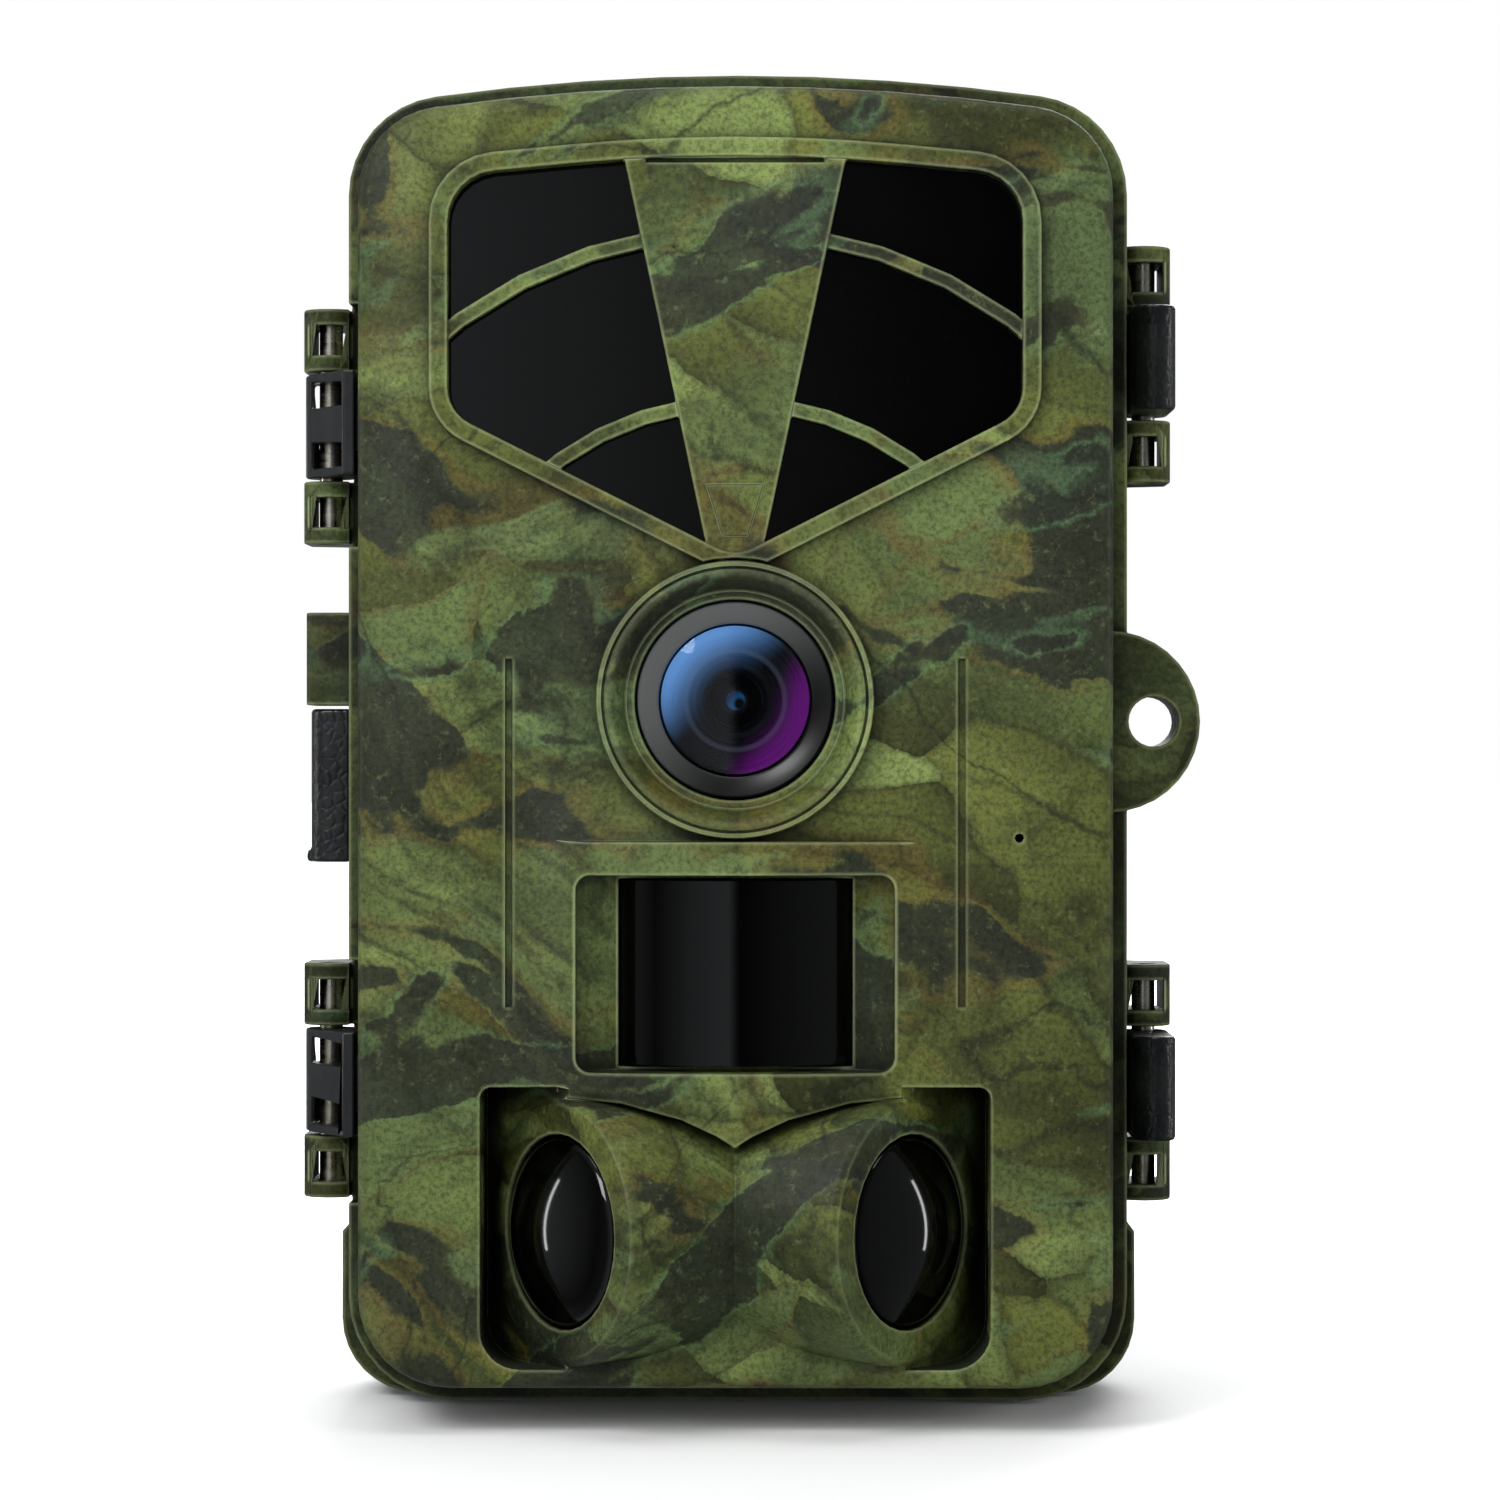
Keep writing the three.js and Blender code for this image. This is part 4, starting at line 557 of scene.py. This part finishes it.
def turned(name, points, matrix, material, body, nodes=(), steps=96, sharp=35):
    """A profile of (radius, along) pairs spun about the Y axis of a place. It closes on itself."""
    bm = bmesh.new()
    verts = [bm.verts.new(p) for p in placed(matrix, points)]
    edges = [bm.edges.new((a, b)) for a, b in zip(verts, verts[1:] + verts[:1])]
    bmesh.ops.spin(
        bm,
        geom=edges,
        cent=matrix.translation,
        axis=matrix.to_3x3() @ Vector((0, 1, 0)),
        angle=math.tau,
        steps=steps,
        use_merge=True,
    )
    bmesh.ops.remove_doubles(bm, verts=bm.verts, dist=1e-6)
    bmesh.ops.dissolve_degenerate(bm, dist=1e-7, edges=bm.edges)
    bmesh.ops.recalc_face_normals(bm, faces=bm.faces)
    return piece(name, bm, material, body, nodes, sharp)


def arched(start, end, lift, count=10):
    """Points on a parabola from one (radius, along) pair to another, lifted in the middle."""
    share = [n / count for n in range(count + 1)]
    return [
        (start[0] + (end[0] - start[0]) * t, start[1] + (end[1] - start[1]) * t - 4 * lift * t * (1 - t))
        for t in share
    ]


def lens_pieces():
    place = Matrix.Translation((LENS.x, 0, LENS.z))
    face, back = FACE_Y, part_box("lens_bezel")[1].y
    crest, ring = LENS_CREST, LENS_RING
    seat = 12.6 * MM
    stop = 10.15 * MM
    rim = [(ring, face - 0.3 * MM), (ring, crest + 0.5 * MM), (ring - 0.12 * MM, crest + 0.28 * MM)]
    rim += [(ring - 0.5 * MM, crest + 0.25 * MM), (ring - 0.62 * MM, crest + 0.55 * MM)]
    rim += [(ring - 0.78 * MM, crest + 0.5 * MM)]
    rim += arched((ring - 0.85 * MM, crest + 0.2 * MM), (ring - 1.7 * MM, crest + 0.25 * MM), 0.2 * MM, 6)
    rim += [(seat - 1.25 * MM, face - 1.15 * MM), (seat - 1.35 * MM, face - 0.65 * MM)]
    rim += [(seat - 1.65 * MM, face - 0.62 * MM), (seat - 1.72 * MM, face - 0.42 * MM)]
    rim += [(stop + 0.12 * MM, face - 0.38 * MM), (stop, face - 0.26 * MM), (stop, back), (seat, back)]
    rim += [(seat, face - 0.3 * MM)]
    turned("lens_ring", rim, place, CAMO, "front_case", ["lens_bezel"], 128)

    low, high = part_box("lens_trim_ring")
    outer = (high.x - low.x) / 2
    glass_edge = (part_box("lens_cover")[1].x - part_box("lens_cover")[0].x) / 2
    disc = [(outer, high.y), (outer, face - 0.35 * MM), (outer - 0.15 * MM, face - 0.5 * MM)]
    disc += [(glass_edge + 0.55 * MM, face - 0.12 * MM), (glass_edge + 0.3 * MM, face + 0.1 * MM)]
    disc += [(glass_edge + 0.3 * MM, high.y)]
    turned("lens_surround", disc, place, TRIM, "front_case", ["lens_trim_ring"], 128)

    dome = arched((0, face - 0.9 * MM), (glass_edge, face + 0.4 * MM), 0.325 * MM, 12)
    inner = arched((glass_edge, face + 1.2 * MM), (0, face), 0.3 * MM, 12)
    turned("cover_glass", dome + inner, place, LENS_GLASS, "front_case", ["lens_cover"], 96, 60)

    stack = [(glass_edge, face + 6 * MM), (glass_edge, face + 1.6 * MM)]
    steps = ((6.9, 1.75), (6.35, 2.0), (4.75, 2.3), (4.5, 2.9), (3.95, 3.0), (3.3, 3.3), (2.9, 3.9))
    for radius, depth in steps:
        stack += [(radius * MM, face + (depth - 0.12) * MM), (radius * MM - 0.14 * MM, face + depth * MM)]
    barrel_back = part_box("lens_barrel")[1].y
    stack += [(2.76 * MM, barrel_back), (6 * MM, barrel_back), (6 * MM, face + 6 * MM)]
    turned("lens_stack", stack, place, LENS_STACK, "front_case", ["lens_barrel"], 96, 20)

    bead = arched((0, face + 2.9 * MM), (2.6 * MM, face + 4.6 * MM), 0.425 * MM, 8)
    bead += [(2.6 * MM, face + 5.6 * MM), (0, face + 6 * MM)]
    turned("front_element", bead, place, PUPIL, "front_case", ["front_lens_element"], 64, 60)


DOME_PIVOT = FACE_Y + 12.9 * MM  # where the axes of the two barrels meet
DOME_RIM = -21.7 * MM  # from there out to a dome's rim


def side_domes():
    """The polished domes over the two sideways sensors, set flush in the ends of their barrels."""
    low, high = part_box("pir_lens_left")
    radius = (high.z - low.z) / 2
    for side, name in ((-1, "left"), (1, "right")):
        place = Matrix.Translation((0, DOME_PIVOT, (low.z + high.z) / 2))
        place @= Matrix.Rotation(side * SIDE_ANGLE, 4, "Z")
        dome = arched((0, DOME_RIM - 3.4 * MM), (radius, DOME_RIM), 0.85 * MM, 14)
        dome += arched((radius, DOME_RIM + 1.2 * MM), (0, DOME_RIM - 2.5 * MM), 0.85 * MM, 14)
        node = "pir_lens_" + name
        turned(node + "_dome", dome, place, DARK_WINDOW, "front_case", [node], 96, 60)


softened("window_bezel", CAMO, 0.15 * MM)
front_half = softened("front_shell", CAMO, 0.15 * MM)
line_inside(front_half, (FACE_Y + 1.9 * MM, -4.2 * MM))
rear_half = softened("rear_shell", CAMO, 0.18 * MM)
clear_corners(rear_half)
line_inside(rear_half, (17.5 * MM, -2.2 * MM))
for node in ("hinge_knuckle_lower", "hinge_knuckle_upper"):
    softened(node, BLACK, 0.25 * MM)
for node in ("latch_lever_lower", "latch_lever_upper", "port_cover"):
    softened(node, RUBBER, 0.4 * MM)
softened("pir_lens_center", DARK_WINDOW, 0)
lens_pieces()
side_domes()

UPRIGHT = Matrix.Rotation(math.pi / 2, 4, "X")  # a turned piece's own axis stood on end
CELL_PITCH = 14.9 * MM
CELL_RADIUS = 7.1 * MM
ROW_SPLIT = LENS.z - 5 * MM  # between the lower and the upper row of cells
BOARD_THICKNESS = 1.4 * MM
SPRING_HEIGHT = 2.6 * MM


def nub_up(place):
    column = round(place.x / CELL_PITCH + 1.5)
    row = int(place.z > ROW_SPLIT)
    return (column + row) % 2 == 0


def cells():
    """Each cell is a metal can with a nub, in a sleeve that is gold round the nub's end."""
    for number in range(1, 9):
        node = f"cell_{number}"
        low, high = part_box(node)
        centre = (low + high) / 2
        up = nub_up(centre)
        length = high.z - low.z
        place = Matrix.Translation((centre.x, centre.y, low.z if up else high.z)) @ UPRIGHT
        if not up:
            place @= Matrix.Rotation(math.pi, 4, "X")
        r = CELL_RADIUS
        can = [(0, 0), (r - 1.1 * MM, 0), (r - 0.5 * MM, 0.25 * MM), (r - 0.22 * MM, 0.8 * MM)]
        can += [(r - 0.22 * MM, length - 1.8 * MM), (r - 0.8 * MM, length - 1.15 * MM)]
        can += [(3.6 * MM, length - 1.1 * MM), (2.9 * MM, length - 1.0 * MM), (2.7 * MM, length - 0.75 * MM)]
        can += [(2.7 * MM, length - 0.3 * MM), (2.4 * MM, length), (0, length)]
        turned(node + "_can", can, place, CAN, "rear_case", [node], 48)
        split = 0.7 * length
        spans = (("black", SLEEVE, 0.35 * MM, split), ("gold", COPPER, split + 0.02 * MM, length - 1.35 * MM))
        for tone, material, start, end in spans:
            tube = [(r - 0.21 * MM, start), (r, start), (r, end), (r - 0.21 * MM, end)]
            turned(f"{node}_{tone}", tube, place, material, "rear_case", (), 48)


def block(name, low, high, material, body, nodes):
    bm = bmesh.new()
    size = Vector(high) - Vector(low)
    place = Matrix.Translation((Vector(low) + Vector(high)) / 2) @ Matrix.Diagonal((*size, 1))
    bmesh.ops.create_cube(bm, size=1, matrix=place)
    edges = bm.edges[:]
    bmesh.ops.bevel(bm, geom=edges, offset=0.2 * MM, affect="EDGES", segments=2, profile=0.5, material=-1)
    piece(name, bm, material, body, nodes)


def coil(name, place, height):
    """A wire spring, wound upwards from place."""
    bm = bmesh.new()
    upright = place @ Matrix.Translation((3.4 * MM, 0.4 * MM, 0))
    bmesh.ops.create_circle(bm, cap_ends=True, radius=0.38 * MM, segments=10, matrix=upright)
    turns, steps = 3, 22
    bmesh.ops.spin(
        bm,
        geom=bm.verts[:] + bm.edges[:] + bm.faces[:],
        cent=place.translation,
        axis=place.to_3x3() @ Vector((0, 1, 0)),
        dvec=place.to_3x3() @ Vector((0, height - 0.8 * MM, 0)) / (turns * steps),
        angle=turns * math.tau,
        steps=turns * steps,
    )
    bmesh.ops.holes_fill(bm, edges=[edge for edge in bm.edges if edge.is_boundary])
    bmesh.ops.recalc_face_normals(bm, faces=bm.faces)
    piece(name, bm, TIN, "rear_case")


def contacts():
    """Springs press the flat ends of the cells, and low studs meet the nubs."""
    thick = BOARD_THICKNESS
    cell_low, cell_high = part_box("cell_1")
    for part in ("bottom", "middle", "top"):
        node = "contact_board_" + part
        low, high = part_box(node)
        start = {"bottom": low.z, "middle": (low.z + high.z - thick) / 2, "top": high.z - thick}[part]
        block(
            node + "_plate",
            (low.x, low.y, start),
            (high.x, high.y, start + thick),
            BOARD,
            "rear_case",
            [node],
        )
        faces = {"bottom": (1,), "middle": (-1, 1), "top": (-1,)}[part]
        for face in faces:
            for column in range(4):
                x = (column - 1.5) * CELL_PITCH
                foot = Vector((x, (cell_low.y + cell_high.y) / 2, start + (thick if face > 0 else 0)))
                beyond = foot + Vector((0, 0, face * 20 * MM))
                place = Matrix.Translation(foot) @ UPRIGHT
                if face < 0:
                    place @= Matrix.Rotation(math.pi, 4, "X")
                name = f"{node}_{'up' if face > 0 else 'down'}_{column}"
                if nub_up(beyond) == (face > 0):
                    coil(name + "_spring", place, SPRING_HEIGHT)
                else:
                    stud = [(0, 0), (3 * MM, 0), (2.9 * MM, 0.2 * MM), (1.9 * MM, 0.45 * MM), (0, 0.5 * MM)]
                    turned(name + "_stud", stud, place, TIN, "rear_case", (), 32)


def keys():
    for name in ("ok", "up", "down", "left", "right", "menu"):
        node = "button_" + name
        low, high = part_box(node)
        centre = (low + high) / 2
        place = Matrix.Translation((centre.x, 0, centre.z))
        flange, radius = (high.x - low.x) / 2, 3 * MM
        cap = [(0, low.y), (flange, low.y), (flange, low.y + 0.7 * MM), (radius, low.y + 0.75 * MM)]
        cap += [(radius, high.y - 0.4 * MM), (radius - 0.12 * MM, high.y - 0.12 * MM)]
        cap += [(radius - 0.4 * MM, high.y), (radius - 0.9 * MM, high.y - 0.15 * MM), (0, high.y - 0.3 * MM)]
        turned(node + "_cap", cap, place, KEYS, "key_" + name, [node], 48)


def pins_and_screws():
    for kind in ("hinge", "latch"):
        for level in ("lower", "upper"):
            node = f"{kind}_pin_{level}"
            low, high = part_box(node)
            centre, r = (low + high) / 2, (high.x - low.x) / 2
            place = Matrix.Translation((centre.x, centre.y, 0)) @ UPRIGHT
            rod = [(0, low.z), (r - 0.25 * MM, low.z), (r, low.z + 0.25 * MM)]
            rod += [(r, high.z - 0.25 * MM), (r - 0.25 * MM, high.z), (0, high.z)]
            turned(node + "_rod", rod, place, STEEL, "rear_case", [node], 32)
    for number in range(1, 5):
        node = f"cover_screw_{number}"
        low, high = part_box(node)
        centre, r = (low + high) / 2, (high.x - low.x) / 2
        place = Matrix.Translation((centre.x, 0, centre.z))
        shank = min(0.95 * MM, r)
        screw = [(0, low.y), (shank, low.y), (shank, high.y - 1.3 * MM), (r, high.y - 1.3 * MM)]
        screw += [(r, high.y - 0.5 * MM), (r * 0.7, high.y), (0.75 * MM, high.y)]
        screw += [(0.4 * MM, high.y - 0.6 * MM), (0, high.y - 0.6 * MM)]
        turned(node + "_head", screw, place, STEEL, "front_case", [node], 32)


def thread():
    """The brass insert's bore, ribbed like a screw thread."""
    low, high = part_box("tripod_insert")
    centre, r = (low + high) / 2, (high.x - low.x) / 2
    place = Matrix.Translation((centre.x, centre.y, 0)) @ UPRIGHT
    bore, pitch = 3.175 * MM, 1.27 * MM
    lining = [(0, high.z), (r, high.z), (r, low.z + 0.2 * MM), (r - 0.2 * MM, low.z)]
    lining += [(bore + 0.5 * MM, low.z)]
    level = low.z + 0.5 * MM
    while level + pitch < high.z - 1 * MM:
        lining += [(bore, level), (bore + 0.5 * MM, level + pitch / 2)]
        level += pitch
    lining += [(bore, level), (bore, high.z - 0.8 * MM), (0, high.z - 0.8 * MM)]
    turned("thread_insert", lining, place, BRASS, "rear_case", ["tripod_insert"], 48, 20)


def lead():
    """The supply lead, which crosses from one half of the case to the other, as a smooth copy of its CAD
    node.
    """
    source = frame["nodes"]["battery_lead"]
    bm = bmesh.new()
    bm.from_mesh(source.data)
    bmesh.ops.remove_doubles(bm, verts=bm.verts, dist=2e-6)
    mesh = bpy.data.meshes.new("supply_lead")
    bm.to_mesh(mesh)
    bm.free()
    mesh.materials.append(RUBBER)
    mesh.shade_smooth()
    obj = bpy.data.objects.new("supply_lead", mesh)
    bpy.context.scene.collection.objects.link(obj)
    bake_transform(obj)
    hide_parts("battery_lead")


cells()
contacts()
keys()
pins_and_screws()
thread()
lead()
softened("memory_card", BLACK, 0.2 * MM)
softened("power_switch_knob", BLACK, 0.25 * MM)
softened("dc_jack", BLACK, 0.15 * MM)
softened("inner_cover", GREY, 0.25 * MM)
softened("battery_tray", GREY, 0.25 * MM)

PLAIN = {
    DARK_WINDOW: "ir_window",
    SCREEN: "display",
    RUBBER: "case_seal",
    TIN: "card_socket pir_sensor_center pir_sensor_left pir_sensor_right",
    BOARD: "led_board sensor_board main_board",
    LENS_GLASS: "ir_cut_filter",
}
for material, names in PLAIN.items():
    for node in names.split():
        dress(node, material)

# ------------------------------------------------------------------ floor, light and camera


def area_light(name, place, target, size, power, mirrored=True):
    data = bpy.data.lights.new(name, "AREA")
    data.shape = "RECTANGLE"
    data.size, data.size_y = size
    data.energy = power
    light = bpy.data.objects.new(name, data)
    light.visible_glossy = mirrored
    light.visible_transmission = False
    light.location = place
    light.rotation_euler = (Vector(target) - Vector(place)).to_track_quat("-Z", "Y").to_euler()
    bpy.context.scene.collection.objects.link(light)


def studio():
    bm = bmesh.new()
    bmesh.ops.create_grid(bm, x_segments=1, y_segments=1, size=6)
    mesh = bpy.data.meshes.new("floor")
    bm.to_mesh(mesh)
    bm.free()
    f = Finish("floor")
    far = f.spread(f.vector("LENGTH", f.place), 0.09, 0.3, 0.0, 1.2)
    glow = {"Emission_Color": (1, 1, 1, 1), "Emission_Strength": far}
    mesh.materials.append(f.finish(rgb(244, 244, 244), 0.6, **glow))
    floor = bpy.data.objects.new("floor", mesh)
    floor.location.z = -0.5 * MM
    floor.visible_glossy = False
    floor.visible_transmission = False
    bpy.context.scene.collection.objects.link(floor)

    world = bpy.data.worlds.new("studio")
    bpy.context.scene.world = world
    world.use_nodes = True
    nodes, links = world.node_tree.nodes, world.node_tree.links
    seen = nodes["Background"]
    seen.inputs["Color"].default_value = (1, 1, 1, 1)
    seen.inputs["Strength"].default_value = 1.0
    fill = nodes.new("ShaderNodeBackground")
    fill.inputs["Color"].default_value = (0.92, 0.96, 1, 1)
    aimed = nodes.new("ShaderNodeSeparateXYZ")
    links.new(nodes.new("ShaderNodeTexCoord").outputs["Generated"], aimed.inputs[0])
    screen = nodes.new("ShaderNodeValToRGB")
    tones = ((0.0, 0.5), (0.12, 0.08), (0.3, 0.5), (0.46, 0.7), (0.5, 0.12), (0.52, 0.02), (1.0, 0.3))
    shades = screen.color_ramp.elements
    while len(shades) < len(tones):
        shades.new(0.5)
    for shade, (position, tone) in zip(shades, tones):
        shade.position = position
        shade.color = (tone, tone, tone, 1)
    halved = nodes.new("ShaderNodeMath")
    halved.operation = "MULTIPLY_ADD"
    halved.inputs[1].default_value = 0.5
    halved.inputs[2].default_value = 0.5
    links.new(aimed.outputs["X"], halved.inputs[0])
    links.new(halved.outputs[0], screen.inputs["Fac"])
    links.new(screen.outputs["Color"], fill.inputs["Strength"])
    ray = nodes.new("ShaderNodeLightPath")
    either = nodes.new("ShaderNodeMixShader")
    links.new(ray.outputs["Is Camera Ray"], either.inputs["Fac"])
    links.new(fill.outputs[0], either.inputs[1])
    links.new(seen.outputs[0], either.inputs[2])
    links.new(either.outputs[0], nodes["World Output"].inputs["Surface"])

    centre = (0, 0, LENS.z)
    area_light("key", (-0.5, -0.75, 0.75), centre, (0.35, 0.5), 8)
    area_light("front", (-0.12, -1.1, 0.35), centre, (0.5, 0.5), 6, mirrored=False)
    area_light("fill", (0.8, -0.6, 0.3), centre, (0.3, 0.6), 3, mirrored=False)
    area_light("top", (0, -0.1, 1.1), centre, (0.8, 0.6), 4.5)
    area_light("back", (0.2, 1.0, 0.6), centre, (0.8, 0.6), 8)
    for side in (-1, 1):
        area_light("strip", (side * 1.0, 0.05, 0.12), centre, (0.05, 0.7), 1.5)
    bpy.context.scene.view_settings.view_transform = "Standard"


VIEW_DISTANCE = 500 * MM
VIEW_WIDTH = 151.5 * MM  # what the frame takes in at the face
EYE_HEIGHT = 68.8 * MM
EYE_X, AIM_X = 5.45 * MM, 1.5 * MM
SENSOR = 36


def camera():
    data = bpy.data.cameras.new("camera")
    data.sensor_width = SENSOR
    data.lens = SENSOR * VIEW_DISTANCE / VIEW_WIDTH
    data.clip_end = 20
    eye = Vector((EYE_X, FACE_Y - VIEW_DISTANCE, EYE_HEIGHT))
    aim = Vector((AIM_X, FACE_Y, EYE_HEIGHT))
    obj = bpy.data.objects.new("camera", data)
    obj.location = eye
    obj.rotation_euler = (aim - eye).to_track_quat("-Z", "Y").to_euler()
    bpy.context.scene.collection.objects.link(obj)
    bpy.context.scene.camera = obj


studio()
camera()
